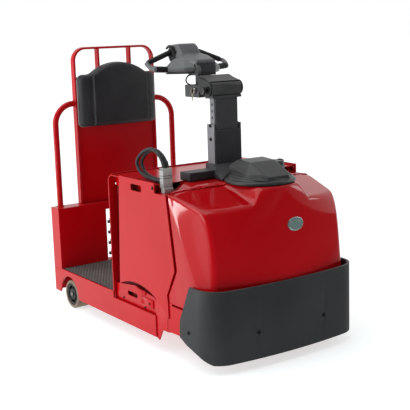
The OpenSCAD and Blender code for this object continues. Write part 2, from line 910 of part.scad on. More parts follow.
// Round grab rail from the rear box up and in to the hoop
module grab_rail() {
    x = hoop_x + bar_d / 2;
    color(red) {
        translate([x, -rail_y, box_z]) cylinder(h = rail_join_z - rail_bend - box_z, r = rail_r);
        translate([x, -rail_y + rail_bend, rail_join_z - rail_bend]) rotate([90, 0, 90]) rotate([0, 0, 90])
            rotate_extrude(angle = 90) translate([rail_bend, 0]) circle(rail_r);
        translate([x, -rail_y + rail_bend, rail_join_z]) rotate([-90, 0, 0])
            cylinder(h = rail_y - rail_bend - hoop_half, r = rail_r);
    }
}

// ---- tow coupler ----

module tow_coupler() {
    color(black) difference() {
        union() {
            translate([rear_x - 14, -44, 96]) cube([14, 88, jaw_top - 96]);
            for (k = [0 : jaw_n - 1]) translate([0, 0, jaw_z + k * jaw_pitch]) linear_extrude(jaw_t) {
                translate([pin_x, 0]) circle(33);
                translate([pin_x, -33]) square([rear_x - 14 - pin_x, 66]);
                translate([rear_x - 14, -66]) square([14, 132]);
            }
        }
        translate([pin_x, 0, jaw_z - 1]) cylinder(h = jaw_top - jaw_z + 2, r = pin_r + 0.5);
        for (y = [-32, 32], z = [110, 160])
            translate([rear_x - 15, y, z]) rotate([0, 90, 0]) cylinder(h = 16, r = 6);
    }
}

module tow_pin() {
    color(steel) {
        translate([pin_x, 0, jaw_z - 12]) cylinder(h = jaw_top + 14 - jaw_z, r = pin_r);
        translate([pin_x, 0, jaw_top + 0.3]) cylinder(h = 8, r = 22);
        translate([pin_x, 0, jaw_top + 34]) rotate([90, 0, 0]) rotate_extrude() translate([22, 0]) circle(5);
    }
}

// ---- wheels ----

module rear_axles() {
    color(steel)
        for (side = [-1, 1])
            on_side(side) {
                translate([wheel_x, -rib_y + 12, load_r]) rotate([90, 0, 0])
                    cylinder(h = wheel_y + load_w / 2 - rib_y + 10, r = axle_r);
                translate([wheel_x, -rib_y + 20, load_r]) rotate([90, 0, 0]) cylinder(h = 8, r = 18);
            }
}

module load_tyre() {
    color("#b8a58c") translate([wheel_x, -wheel_y - load_w / 2, load_r]) rotate([-90, 0, 0])
        rotate_extrude($fn = 128) polygon([
            [load_r - 16, 0], [load_r - 4, 0], [load_r, 4], [load_r, load_w - 4], [load_r - 4, load_w],
            [load_r - 16, load_w]
        ]);
}

module load_hub() {
    color(black) translate([wheel_x, -wheel_y - load_w / 2, load_r]) rotate([-90, 0, 0])
        rotate_extrude($fn = 128) polygon([
            [axle_r + 0.05, 4], [30, 4], [34, 10], [44, 10], [48, 3], [load_r - 16, 3],
            [load_r - 16, load_w - 3], [48, load_w - 3], [44, load_w - 10], [34, load_w - 10],
            [30, load_w - 2], [axle_r + 0.05, load_w - 2]
        ]);
}

// ---- drive unit ----

module drive_gearbox() {
    color(charcoal) {
        translate([cap_x, 0, plate_z + 12.3]) cylinder(h = 20, r = 150);
        translate([cap_x, 0, plate_z - 30]) cylinder(h = 43, r = 128);
        translate([cap_x, 0, 0]) plate_xz(drive_w / 2 + 6, 56) {
            translate([0, drive_r]) circle(72);
            translate([-72, drive_r]) square([144, plate_z - 30 - drive_r]);
        }
        translate([cap_x, drive_w / 2 + 6, drive_r]) rotate([90, 0, 0])
            cylinder(h = drive_w / 2 + 20, r = 24);
    }
}

module traction_motor() {
    color(black) translate([cap_x, 0, plate_z + 32.3]) {
        cylinder(h = 300, r = 104);
        translate([0, 0, 300]) cylinder(h = 60, r = 84);
    }
}

module drive_tyre() {
    color(black) translate([cap_x, -drive_w / 2, drive_r]) rotate([-90, 0, 0])
        rotate_extrude($fn = 128) polygon([
            [drive_r - 24, 0], [drive_r - 5, 0], [drive_r, 5], [drive_r, drive_w - 5], [drive_r - 5, drive_w],
            [drive_r - 24, drive_w]
        ]);
}

module drive_hub() {
    color(steel) translate([cap_x, -drive_w / 2, drive_r]) rotate([-90, 0, 0])
        rotate_extrude($fn = 128) polygon([
            [24.05, 30], [60, 30], [80, 4], [drive_r - 24, 4], [drive_r - 24, drive_w - 4],
            [80, drive_w - 4], [60, drive_w - 20], [24.05, drive_w - 20]
        ]);
}

side_sill();  // right_side_sill
mirror([0, 1, 0]) side_sill();  // left_side_sill
battery_panel();  // right_battery_panel
mirror([0, 1, 0]) battery_panel();  // left_battery_panel
battery_gates();
platform_plate();
floor_mat();
rear_box();
bulkhead();
battery_tray();
battery();
battery_cover();
front_frame();
hood();
motor_cap();
bumper();
column_base();
column_sleeve();
sleeve_cheeks();
connector();
battery_leads();
backrest_frame();
backrest_cushion();
grab_rail();  // right_grab_rail
mirror([0, 1, 0]) grab_rail();  // left_grab_rail
tow_coupler();
tow_pin();
rear_axles();
column_post();
post_rails();
column_head();
head_end_caps();
key_console();
console_controls();
handle_hub();
handle_body();
handle_grips();
drive_gearbox();
traction_motor();
drive_tyre();
drive_hub();
load_tyre();  // right_wheel_tyre
load_hub();  // right_wheel_hub
mirror([0, 1, 0]) load_tyre();  // left_wheel_tyre
mirror([0, 1, 0]) load_hub();  // left_wheel_hub
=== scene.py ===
import math

import bmesh
import bpy
import numpy as np
from mathutils import Matrix, Vector


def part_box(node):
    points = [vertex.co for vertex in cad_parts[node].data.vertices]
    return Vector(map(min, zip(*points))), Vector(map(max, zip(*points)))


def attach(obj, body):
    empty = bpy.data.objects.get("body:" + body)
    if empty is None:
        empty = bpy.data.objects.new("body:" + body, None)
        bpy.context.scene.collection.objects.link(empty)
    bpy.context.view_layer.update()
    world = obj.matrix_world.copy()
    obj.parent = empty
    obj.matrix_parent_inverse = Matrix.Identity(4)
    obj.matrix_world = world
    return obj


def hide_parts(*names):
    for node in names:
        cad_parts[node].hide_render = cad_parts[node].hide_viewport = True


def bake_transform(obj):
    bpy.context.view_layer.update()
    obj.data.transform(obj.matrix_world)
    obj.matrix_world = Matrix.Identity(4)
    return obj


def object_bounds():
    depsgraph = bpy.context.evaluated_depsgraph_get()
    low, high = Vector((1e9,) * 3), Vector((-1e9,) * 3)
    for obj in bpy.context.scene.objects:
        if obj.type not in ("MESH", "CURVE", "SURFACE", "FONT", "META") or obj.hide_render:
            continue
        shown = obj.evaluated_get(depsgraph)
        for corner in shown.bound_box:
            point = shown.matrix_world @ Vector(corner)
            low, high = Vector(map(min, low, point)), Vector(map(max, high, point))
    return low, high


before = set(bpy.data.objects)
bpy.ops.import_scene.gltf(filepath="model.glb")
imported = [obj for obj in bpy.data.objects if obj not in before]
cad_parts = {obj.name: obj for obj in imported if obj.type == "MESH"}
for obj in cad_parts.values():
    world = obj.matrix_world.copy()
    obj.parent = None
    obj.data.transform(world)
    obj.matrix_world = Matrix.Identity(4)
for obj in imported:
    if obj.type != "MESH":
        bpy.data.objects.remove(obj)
cad_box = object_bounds()
scene = bpy.context.scene

# ---- camera ----
# A long lens on a tripod, right of the nose and a little above the hood, looking back over it.
# It is turned by hand, so it hangs a degree or two out of level.
lens_data = bpy.data.cameras.new("camera")
lens_data.sensor_width = 36.0
lens_data.lens = 81.75
lens_data.clip_end = 200.0
camera = bpy.data.objects.new("camera", lens_data)
scene.collection.objects.link(camera)
azimuth, pitch, roll = (math.radians(a) for a in (55.45, 10.85, -1.75))
ahead = Vector((-math.sin(azimuth) * math.cos(pitch), math.cos(azimuth) * math.cos(pitch), -math.sin(pitch)))
right = Vector((math.cos(azimuth), math.sin(azimuth), 0.0))
above = right.cross(ahead)
across = right * math.cos(roll) + above * math.sin(roll)
upward = above * math.cos(roll) - right * math.sin(roll)
turn = Matrix((across, upward, -ahead)).transposed().to_4x4()
camera.matrix_world = Matrix.Translation((3.896, -2.582, 1.491)) @ turn
scene.camera = camera

# ---- battery leads ----
# Two rubber-sheathed copper leads side by side. They leave the top of the battery plug, arch back
# over the column's foot and come round into the rear of the plug, each through a tapered boot.


def woven(name, grid, around=False, caps=False):
    """A mesh over a grid of points, rows by columns: neighbours in a row and in the next row share
    a four-sided face. around joins each row's end to its start, caps closes the two end rows."""
    rows, cols = grid.shape[:2]
    index = np.arange(rows * cols).reshape(rows, cols)
    beside = np.roll(index, -1, axis=1) if around else index[:, 1:]
    here = index if around else index[:, :-1]
    faces = np.stack([here[:-1], beside[:-1], beside[1:], here[1:]], axis=-1).reshape(-1, 4).tolist()
    if caps:
        faces += [index[0, ::-1].tolist(), index[-1].tolist()]
    mesh = bpy.data.meshes.new(name)
    mesh.from_pydata(grid.reshape(-1, 3).tolist(), [], faces)
    return mesh


def settled(mesh, sharp=35.0, closed=True):
    """The mesh with its doubled points merged, a closed one's faces turned outwards, and smooth
    shading up to edges of the given angle in degrees."""
    work = bmesh.new()
    work.from_mesh(mesh)
    bmesh.ops.remove_doubles(work, verts=work.verts, dist=1e-6)
    if closed:
        bmesh.ops.recalc_face_normals(work, faces=work.faces)
    work.to_mesh(mesh)
    work.free()
    mesh.shade_smooth()
    mesh.set_sharp_from_angle(angle=math.radians(sharp))
    return mesh


def placed(mesh, look, body="chassis", replaces=()):
    """A piece of the tractor from its mesh and its material, riding on a body unless that is ""."""
    piece = bpy.data.objects.new(mesh.name, mesh)
    mesh.materials.clear()
    mesh.materials.append(look)
    scene.collection.objects.link(piece)
    if body:
        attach(piece, body)
    if replaces:
        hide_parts(*replaces)
    return piece


def turns(n):
    """n angles spread evenly round one full turn."""
    return np.linspace(0.0, 2.0 * np.pi, n, endpoint=False)


def swept(name, path, radius, sides=16, side=(0.0, 1.0, 0.0)):
    """A round bar carried along a path: at each point a ring of the given radius, square to the
    path, whose first spoke lies along the side vector."""
    path = np.asarray(path, float)
    along = np.gradient(path, axis=0)
    along /= np.linalg.norm(along, axis=1, keepdims=True)
    out = np.cross(along, np.asarray(side, float))
    out /= np.linalg.norm(out, axis=1, keepdims=True)
    wide = np.cross(out, along)
    turn_by = turns(sides)
    spokes = np.cos(turn_by)[None, :, None] * wide[:, None] + np.sin(turn_by)[None, :, None] * out[:, None]
    radius = np.broadcast_to(np.asarray(radius, float), len(path))
    return settled(woven(name, path[:, None] + radius[:, None, None] * spokes, around=True, caps=True))


def through(points, steps):
    """The smooth curve through the points: between two of them a cubic whose slope at each is half
    the step from its one neighbour to the other, cut into the given number of steps."""
    points = np.asarray(points, float)
    held = np.vstack([points[:1], points, points[-1:]])
    a, b, c, d = (held[k : len(points) - 1 + k, None] for k in range(4))
    t = (np.arange(steps) / steps)[None, :, None]
    curve = 0.5 * (2 * b + t * (c - a) + t**2 * (2 * a - 5 * b + 4 * c - d) + t**3 * (3 * b - a - 3 * c + d))
    return np.vstack([curve.reshape(-1, points.shape[1]), points[-1:]])


def xyz(x, y, z):
    """Points from their three coordinates, each an array or one number for all of them."""
    return np.stack(np.broadcast_arrays(x, y, z), axis=-1)


def run_of(path):
    """Distance along a path from its first point to each of its points."""
    return np.concatenate([[0.0], np.cumsum(np.linalg.norm(np.diff(path, axis=0), axis=1))])


def points_at(path, s):
    """Points of a path at the distances s along it."""
    run, path = run_of(path), np.asarray(path, float)
    return np.stack([np.interp(s, run, path[:, k]) for k in range(path.shape[1])], axis=-1)


def effect(name, inputs, outputs):
    """An empty shader group with named inputs (name, kind, value) and outputs (name, kind)."""
    made = bpy.data.node_groups.new(name, "ShaderNodeTree")
    for label, kind, value in inputs:
        socket = made.interface.new_socket(name=label, in_out="INPUT", socket_type="NodeSocket" + kind)
        if value is not None:
            socket.default_value = value
    for label, kind in outputs:
        made.interface.new_socket(name=label, in_out="OUTPUT", socket_type="NodeSocket" + kind)
    return made, made.nodes.new("NodeGroupInput"), made.nodes.new("NodeGroupOutput")


def step_of(tree, operation, first, second, clamp=False):
    """One sum in a shader tree: first and second are sockets or plain numbers."""
    node = tree.nodes.new("ShaderNodeMath")
    node.operation = operation
    node.use_clamp = clamp
    for k, value in enumerate((first, second)):
        if isinstance(value, (int, float)):
            node.inputs[k].default_value = value
        else:
            tree.links.new(value, node.inputs[k])
    return node.outputs[0]


def texture_in(group, inputs, kind="ShaderNodeTexNoise", detail=None):
    """A noise or cell texture in a shader group, laid out by the group's own Vector and Scale."""
    node = group.nodes.new(kind)
    if detail is not None:
        node.inputs["Detail"].default_value = detail
    for label in ("Vector", "Scale"):
        group.links.new(inputs.outputs[label], node.inputs[label])
    return node


# Slow change of tone over a surface: three octaves of noise, spread over 0 to 1.
uneven, g_in, g_out = effect(
    "uneven_tone", [("Vector", "Vector", None), ("Scale", "Float", 5.0)], [("Tone", "Float")]
)
cloud = texture_in(uneven, g_in, detail=3.0)
spread = uneven.nodes.new("ShaderNodeMapRange")
spread.inputs["From Min"].default_value = 0.3
spread.inputs["From Max"].default_value = 0.7
uneven.links.new(cloud.outputs[0], spread.inputs["Value"])
uneven.links.new(spread.outputs[0], g_out.inputs["Tone"])

# Fine surface relief: the cells of a moulding grain, softened by a finer noise.
grain, g_in, g_out = effect(
    "fine_grain", [("Vector", "Vector", None), ("Scale", "Float", 400.0), ("Cells", "Float", 0.5)],
    [("Height", "Float")],
)
cells = texture_in(grain, g_in, "ShaderNodeTexVoronoi")
cells.feature = "SMOOTH_F1"
fine = texture_in(grain, g_in, detail=2.0)
pebble = step_of(grain, "MULTIPLY", cells.outputs[0], g_in.outputs["Cells"])
grain.links.new(step_of(grain, "ADD", pebble, fine.outputs[0]), g_out.inputs["Height"])

# Wear on outward edges: where the surface turns within the radius, broken up by noise.
wear, g_in, g_out = effect(
    "edge_wear",
    [("Vector", "Vector", None), ("Scale", "Float", 40.0), ("Radius", "Float", 0.002), ("Amount", "Float", 0.5)],
    [("Mask", "Float")],
)
rounded = wear.nodes.new("ShaderNodeBevel")
rounded.samples = 3
wear.links.new(g_in.outputs["Radius"], rounded.inputs["Radius"])
facing = wear.nodes.new("ShaderNodeNewGeometry")
same = wear.nodes.new("ShaderNodeVectorMath")
same.operation = "DOT_PRODUCT"
wear.links.new(rounded.outputs[0], same.inputs[0])
wear.links.new(facing.outputs["Normal"], same.inputs[1])
turned_away = step_of(wear, "MULTIPLY", step_of(wear, "SUBTRACT", 1.0, same.outputs["Value"]), 9.0, clamp=True)
chips = texture_in(wear, g_in)
broken = step_of(wear, "MULTIPLY", step_of(wear, "SUBTRACT", chips.outputs[0], 0.38), 4.0, clamp=True)
both = step_of(wear, "MULTIPLY", turned_away, broken)
wear.links.new(step_of(wear, "MULTIPLY", both, g_in.outputs["Amount"]), g_out.inputs["Mask"])

# Dust that has settled on what faces up, in slow patches.
dust, g_in, g_out = effect(
    "settled_dust", [("Vector", "Vector", None), ("Scale", "Float", 7.0), ("Amount", "Float", 0.1)],
    [("Mask", "Float")],
)
facing = dust.nodes.new("ShaderNodeNewGeometry")
split = dust.nodes.new("ShaderNodeSeparateXYZ")
dust.links.new(facing.outputs["Normal"], split.inputs[0])
patches = texture_in(dust, g_in, detail=6.0)
upward_share = step_of(dust, "POWER", step_of(dust, "MAXIMUM", split.outputs["Z"], 0.0), 3.0)
level = step_of(dust, "MULTIPLY", upward_share, patches.outputs[0])
dust.links.new(step_of(dust, "MULTIPLY", level, g_in.outputs["Amount"], clamp=True), g_out.inputs["Mask"])


def finish(
    name, dark, light, rough, tone=6.0, relief=(400.0, 0.5, 0.00005), worn=None, dusty=0.06,
    metallic=0.0, coat=0.0, coat_rough=0.1, specular=0.25,
):
    """A material between two tones of one finish. rough is its roughness at the one and the other
    tone; relief is the grain's scale, share of cells and depth in metres; worn is the colour,
    radius and amount of its edge wear."""
    made = bpy.data.materials.new(name)
    made.use_nodes = True
    tree = made.node_tree
    shader = tree.nodes["Principled BSDF"]
    shader.inputs["Metallic"].default_value = metallic
    shader.inputs["Coat Weight"].default_value = coat
    shader.inputs["Coat Roughness"].default_value = coat_rough
    shader.inputs["Specular IOR Level"].default_value = specular
    place = tree.nodes.new("ShaderNodeTexCoord").outputs["Object"]

    def effect_node(group, **values):
        node = tree.nodes.new("ShaderNodeGroup")
        node.node_tree = group
        tree.links.new(place, node.inputs["Vector"])
        for label, value in values.items():
            node.inputs[label].default_value = value
        return node.outputs[0]

    def mixed(share, first, second):
        node = tree.nodes.new("ShaderNodeMix")
        node.data_type = "RGBA"
        tree.links.new(share, node.inputs[0])
        for k, value in ((6, first), (7, second)):
            if isinstance(value, tuple):
                node.inputs[k].default_value = (*value, 1.0)
            else:
                tree.links.new(value, node.inputs[k])
        return node.outputs[2]

    share = effect_node(uneven, Scale=tone)
    colour = mixed(share, dark, light)
    if worn:
        colour = mixed(effect_node(wear, Radius=worn[1], Amount=worn[2]), colour, worn[0])
    if dusty:
        colour = mixed(effect_node(dust, Amount=dusty), colour, (0.35, 0.33, 0.3))
    tree.links.new(colour, shader.inputs["Base Color"])
    gloss = tree.nodes.new("ShaderNodeMapRange")
    gloss.inputs["To Min"].default_value, gloss.inputs["To Max"].default_value = rough
    tree.links.new(share, gloss.inputs["Value"])
    tree.links.new(gloss.outputs[0], shader.inputs["Roughness"])
    bump = tree.nodes.new("ShaderNodeBump")
    bump.inputs["Distance"].default_value = relief[2]
    tree.links.new(effect_node(grain, Scale=relief[0], Cells=relief[1]), bump.inputs["Height"])
    tree.links.new(bump.outputs[0], shader.inputs["Normal"])
    return made


lead_r, half_gap = 0.008, 0.001
plug_at = (0.361, -0.358, 0.776)
lead_route = [
    (0, 88), (-9, 116), (-43, 150), (-99, 169), (-161, 157), (-213, 127), (-237, 92),
    (-215, 56), (-165, 36), (-99, 28), (-11, 28),
]
lead_rubber = finish(
    "lead_rubber", (0.012, 0.012, 0.013), (0.03, 0.03, 0.032), (0.42, 0.6), tone=30.0, relief=(900.0, 0.4, 0.00008),
    dusty=0.12,
)
lead_line = through(np.array(lead_route, float) / 1000.0, 6)
# the left lead's arch is drawn in by up to a ninth towards a point within the loop
drawn_to, drawn_in = np.array([-0.10, 0.10]), {"right_lead": 0.0, "left_lead": 0.11}
for side, name in ((-1, "right_lead"), (1, "left_lead")):
    y = plug_at[1] + side * (lead_r + half_gap)
    bow = np.sin(np.pi * np.linspace(0.0, 1.0, len(lead_line))) ** 2 * drawn_in[name]
    bent = lead_line + bow[:, None] * (drawn_to - lead_line)
    path = xyz(plug_at[0] + bent[:, 0], y, plug_at[2] + bent[:, 1])
    lead = placed(swept(name, path, lead_r, sides=20), lead_rubber)
    if side < 0:
        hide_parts("battery_leads")

# ---- lead boots ----
# A moulded rubber boot is pushed over each end of each lead, where it enters the plug: ribbed at
# its root and thin where it lets the lead go.
boot_rubber = finish(
    "boot_rubber", (0.02, 0.02, 0.022), (0.045, 0.045, 0.048), (0.5, 0.65), tone=40.0, relief=(700.0, 0.4, 0.0001)
)
boot_l, boot_most_r = 0.034, 0.0088
s = np.linspace(0.0, boot_l, 18)
boot_ribs = 0.0007 * (np.cos(s / boot_l * 8 * np.pi) > 0)
boot_r = np.minimum(lead_r + 0.0006 + 0.0022 * (1.0 - s / boot_l) + boot_ribs, boot_most_r)
for side, name in ((-1, "right_lead"), (1, "left_lead")):
    y = plug_at[1] + side * (lead_r + half_gap)
    for line, end in ((lead_line, "top"), (lead_line[::-1], "rear")):
        x, z = points_at(line, s).T
        path = xyz(plug_at[0] + x, y, plug_at[2] + z)
        placed(swept(f"{name}_boot_{end}", path, boot_r, sides=20), boot_rubber)

# ---- studio ----
# A plain white room: one pale floor that runs out of sight, an even white wall all round that is
# dimmer behind the camera, a broad soft sun high on the tractor's right and four soft panels.
scene.view_settings.view_transform = "Standard"
scene.view_settings.look = "None"

room = bpy.data.worlds.new("room")
scene.world = room
room.use_nodes = True
walls = room.node_tree
backdrop = walls.nodes["Background"]
seen = walls.nodes.new("ShaderNodeLightPath")
towards = walls.nodes.new("ShaderNodeTexCoord")
front_share = walls.nodes.new("ShaderNodeVectorMath")
front_share.operation = "DOT_PRODUCT"
front_share.inputs[1].default_value = (0.86, -0.35, 0.1)
walls.links.new(towards.outputs["Generated"], front_share.inputs[0])
dimmer = walls.nodes.new("ShaderNodeMapRange")
for label, value in (("From Min", -0.3), ("From Max", 0.8), ("To Min", 0.8), ("To Max", 0.1)):
    dimmer.inputs[label].default_value = value
walls.links.new(front_share.outputs["Value"], dimmer.inputs["Value"])
strength = step_of(walls, "MAXIMUM", dimmer.outputs[0], seen.outputs["Is Camera Ray"])
walls.links.new(strength, backdrop.inputs["Strength"])
backdrop.inputs["Color"].default_value = (1.0, 1.0, 1.0, 1.0)


def plain_floor(half):
    """A square of one face in the plane of the wheels' lowest points, half metres each way."""
    mesh = bpy.data.meshes.new("floor")
    corners = np.array([(-1, -1, 0), (1, -1, 0), (1, 1, 0), (-1, 1, 0)], float) * half
    mesh.from_pydata(corners.tolist(), [], [(0, 1, 2, 3)])
    return mesh


floor_look = bpy.data.materials.new("floor_look")
floor_look.use_nodes = True
floor_tree = floor_look.node_tree
floor_shader = floor_tree.nodes["Principled BSDF"]
floor_shader.inputs["Roughness"].default_value = 0.8
floor_shader.inputs["Specular IOR Level"].default_value = 0.0
floor_shader.inputs["Emission Color"].default_value = (1.0, 1.0, 1.0, 1.0)
# in front of the nose a dark card keeps the floor out of the hood's gloss
on_floor = floor_tree.nodes.new("ShaderNodeTexCoord")
floor_place = floor_tree.nodes.new("ShaderNodeSeparateXYZ")
floor_tree.links.new(on_floor.outputs["Object"], floor_place.inputs[0])
card = floor_tree.nodes.new("ShaderNodeMapRange")
for label, value in (("From Min", -0.4), ("From Max", 1.6), ("To Min", 0.0), ("To Max", 0.9)):
    card.inputs[label].default_value = value
floor_tree.links.new(floor_place.outputs["X"], card.inputs["Value"])
ray = floor_tree.nodes.new("ShaderNodeLightPath")
carded = step_of(floor_tree, "MULTIPLY", card.outputs[0], ray.outputs["Is Glossy Ray"])
kept = step_of(floor_tree, "SUBTRACT", 1.0, carded)
floor_tone = floor_tree.nodes.new("ShaderNodeCombineColor")
for k, share in enumerate((0.50, 0.555, 0.557)):
    floor_tree.links.new(step_of(floor_tree, "MULTIPLY", kept, share), floor_tone.inputs[k])
floor_tree.links.new(floor_tone.outputs[0], floor_shader.inputs["Base Color"])
floor_tree.links.new(step_of(floor_tree, "MULTIPLY", kept, 0.64), floor_shader.inputs["Emission Strength"])
floor = bpy.data.objects.new("floor", plain_floor(60.0))
floor.data.materials.append(floor_look)
scene.collection.objects.link(floor)


def soft_panel(name, place, target, size, watts):
    """A square area lamp of the given size at place, turned to shine on target."""
    data = bpy.data.lights.new(name, "AREA")
    data.size = size
    data.energy = watts
    lamp = bpy.data.objects.new(name, data)
    lamp.location = place
    lamp.rotation_euler = (Vector(target) - Vector(place)).to_track_quat("-Z", "Y").to_euler()
    scene.collection.objects.link(lamp)


soft_sun_data = bpy.data.lights.new("soft_sun", "SUN")
soft_sun_data.energy = 1.25
soft_sun_data.angle = math.radians(60.0)
soft_sun = bpy.data.objects.new("soft_sun", soft_sun_data)
soft_sun.rotation_euler = Vector((0.12, 0.42, -1.0)).to_track_quat("-Z", "Y").to_euler()
scene.collection.objects.link(soft_sun)
soft_panel("side_panel", (-0.4, -4.6, 1.9), (0.0, 0.0, 0.6), 2.6, 85.0)
soft_panel("nose_panel", (2.4, 4.6, 2.2), (0.5, 0.0, 0.6), 1.6, 30.0)
soft_panel("haze_panel", (-2.7, -3.7, 0.6), (0.2, -0.4, 0.6), 1.3, 26.0)
soft_panel("ridge_panel", (-1.75, -3.3, 0.45), (0.5, -0.4, 0.6), 0.42, 6.5)

# ---- red steel ----
# Sills, platform, boxes, frames and rails are plates and bars of mild steel, welded together and
# coated in a glossy deep red. The coat shows a fine orange peel and is scuffed along its edges.
red_coat = finish(
    "red_coat", (0.42, 0.001, 0.004), (0.48, 0.002, 0.006), (0.14, 0.24), tone=2.5, relief=(160.0, 0.3, 0.00005),
    worn=((0.22, 0.008, 0.01), 0.0022, 0.55), dusty=0.03, specular=0.22,
)
red_rail = finish(
    "red_rail", (0.40, 0.001, 0.004), (0.46, 0.002, 0.006), (0.14, 0.22), tone=8.0, relief=(220.0, 0.3, 0.00005),
    worn=((0.24, 0.01, 0.012), 0.0015, 0.4), dusty=0.03, specular=0.2,
)


def dress(look, *nodes):
    """Puts a material on CAD nodes in place of the one they came with."""
    for node in nodes:
        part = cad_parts[node]
        part.data.materials.clear()
        part.data.materials.append(look)


def eased(width, *nodes):
    """Rounds the sharp edges of flat-sided CAD nodes to the given width: their triangles are joined,
    flat neighbours become one face, and each edge sharper than 30 degrees gets a small round."""
    for node in nodes:
        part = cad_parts[node]
        join = part.modifiers.new("join", "WELD")
        join.merge_threshold = 1e-5
        flat = part.modifiers.new("flat", "DECIMATE")
        flat.decimate_type = "DISSOLVE"
        flat.angle_limit = math.radians(0.6)
        ease = part.modifiers.new("ease", "BEVEL")
        ease.width = width
        ease.segments = 2
        ease.limit_method = "ANGLE"
        ease.angle_limit = math.radians(30.0)


dress(
    red_coat, "right_side_sill", "left_side_sill", "right_battery_panel", "left_battery_panel", "battery_gates",
    "platform_plate", "rear_box", "bulkhead", "battery_tray", "battery_cover", "front_frame", "backrest_frame",
)
dress(red_rail, "right_grab_rail", "left_grab_rail")
eased(
    0.0016, "right_side_sill", "left_side_sill", "right_battery_panel", "left_battery_panel", "battery_gates",
    "rear_box", "bulkhead", "battery_cover",
)
eased(0.0028, "backrest_frame")


def turned(name, profile, places, axes, sides=20):
    """Round parts: a profile of (radius, height) pairs turned once about an axis at each place, or
    about one axis at all of them. The same rings are laid out at every place by one sum of place,
    height along the axis and spoke."""
    places = np.asarray(places, float)
    axes = np.broadcast_to(np.asarray(axes, float), places.shape)
    axes = axes / np.linalg.norm(axes, axis=1, keepdims=True)
    helper = np.where(np.abs(axes[:, 2:]) > 0.9, [[1.0, 0.0, 0.0]], [[0.0, 0.0, 1.0]])
    first = np.cross(axes, helper)
    first /= np.linalg.norm(first, axis=1, keepdims=True)
    second = np.cross(axes, first)
    turn_by = turns(sides)
    profile = np.asarray(profile, float)
    spokes = np.cos(turn_by)[:, None] * first[:, None] + np.sin(turn_by)[:, None] * second[:, None]
    rings = (
        places[:, None, None] + axes[:, None, None] * profile[None, :, 1, None, None]
        + spokes[:, None] * profile[None, :, 0, None, None]
    )
    count = len(profile)
    index = np.arange(len(places) * count * sides).reshape(len(places), count, sides)
    beside = np.roll(index, -1, axis=2)
    faces = np.stack([index[:, :-1], beside[:, :-1], beside[:, 1:], index[:, 1:]], axis=-1).reshape(-1, 4).tolist()
    faces += index[:, 0, ::-1].tolist() + index[:, -1].tolist()
    mesh = bpy.data.meshes.new(name)
    mesh.from_pydata(rings.reshape(-1, 3).tolist(), [], faces)
    return settled(mesh, sharp=30.0)


def fitted(name, profile, spots, look, body="chassis", way=None, sides=20):
    """Round parts at the spots as one piece. They stand along the way, which may differ from spot to
    spot, or with none given straight out to the side that they are on."""
    if way is None:
        way = [(0.0, math.copysign(1.0, y), 0.0) for _, y, _ in spots]
    return placed(turned(name, profile, spots, way, sides=sides), look, body)


def button_head(r):
    """Profile of a round bolt head of radius r with a hexagon-deep socket in its middle."""
    return [
        (r, 0.0), (r, 0.25 * r), (0.8 * r, 0.55 * r), (0.5 * r, 0.62 * r), (0.44 * r, 0.6 * r), (0.4 * r, 0.15 * r)
    ]


def both_sides(spots):
    """The spots, given on the right, and after them the same on the left."""
    return [(x, side * y, z) for side in (1, -1) for x, y, z in spots]


dark_bolt = finish(
    "dark_bolt", (0.012, 0.012, 0.013), (0.03, 0.03, 0.032), (0.35, 0.5), tone=60.0, relief=(900.0, 0.3, 0.00005),
    metallic=0.6,
)
bright_bolt = finish(
    "bright_bolt", (0.5, 0.5, 0.5), (0.7, 0.69, 0.66), (0.22, 0.34), tone=60.0, relief=(900.0, 0.3, 0.00004),
    metallic=1.0,
)
panel_y = -0.42
gate_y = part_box("battery_gates")[0].y
bulkhead_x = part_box("bulkhead")[0].x
gate_bolts = [(x, gate_y, z) for x, z in ((0.0035, 0.188), (0.206, 0.183))]
bulkhead_bolts = [(bulkhead_x, side * 0.398, z) for side in (-1, 1) for z in (0.70, 0.27)]
fitted("panel_bolts", button_head(0.007), both_sides([(0.340, panel_y, 0.778)]), dark_bolt)
fitted("gate_bolts", button_head(0.006), both_sides(gate_bolts), dark_bolt)
fitted("panel_locks", button_head(0.005), both_sides([(0.006, panel_y, 0.761)]), bright_bolt)
fitted("bulkhead_bolts", button_head(0.0065), bulkhead_bolts, dark_bolt, way=(-1, 0, 0))


def bead(name, path, r, side=(0.0, 1.0, 0.0)):
    """A weld bead along a path: a round bar whose radius swells and sinks with each pass of the rod,
    one ripple every 3.5 mm."""
    s = np.linspace(0.0, run_of(path)[-1], int(run_of(path)[-1] / 0.0009))
    swell = r * (1.0 + 0.16 * np.abs(np.sin(np.pi * s / 0.0035)))
    return swept(name, points_at(path, s), swell, sides=8, side=side)


# each rail is welded to the box's top and to the hoop's side
box_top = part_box("rear_box")[1].z
rail_x, rail_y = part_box("backrest_frame")[0].x + 0.019, 0.374
hoop_y, hoop_z = 0.2562, 1.098
ring = np.linspace(0.0, 2.0 * np.pi, 60)
for side, name in ((-1, "right"), (1, "left")):
    foot = xyz(rail_x + 0.0175 * np.cos(ring), side * rail_y + 0.0175 * np.sin(ring), box_top + 0.0012)
    placed(bead(f"{name}_rail_foot_bead", foot, 0.0026, side=(0.0, 0.0, 1.0)), red_rail)
    joint = xyz(rail_x + 0.0172 * np.cos(ring), side * hoop_y, hoop_z + 0.0172 * np.sin(ring))
    placed(bead(f"{name}_rail_top_bead", joint, 0.0024), red_rail)

# ---- hood ----
# The hood is one moulded shell over the drive motor: full sides flush with the battery panels, two
# sloping shoulders and a crown between them, and a tongue that reaches back round the column.


def inside_both(a, b, r):
    """Distance to what lies inside two surfaces, with the outer edge between them rounded to r."""
    return np.minimum(-r, np.maximum(a, b)) + np.hypot(np.maximum(a + r, 0.0), np.maximum(b + r, 0.0))


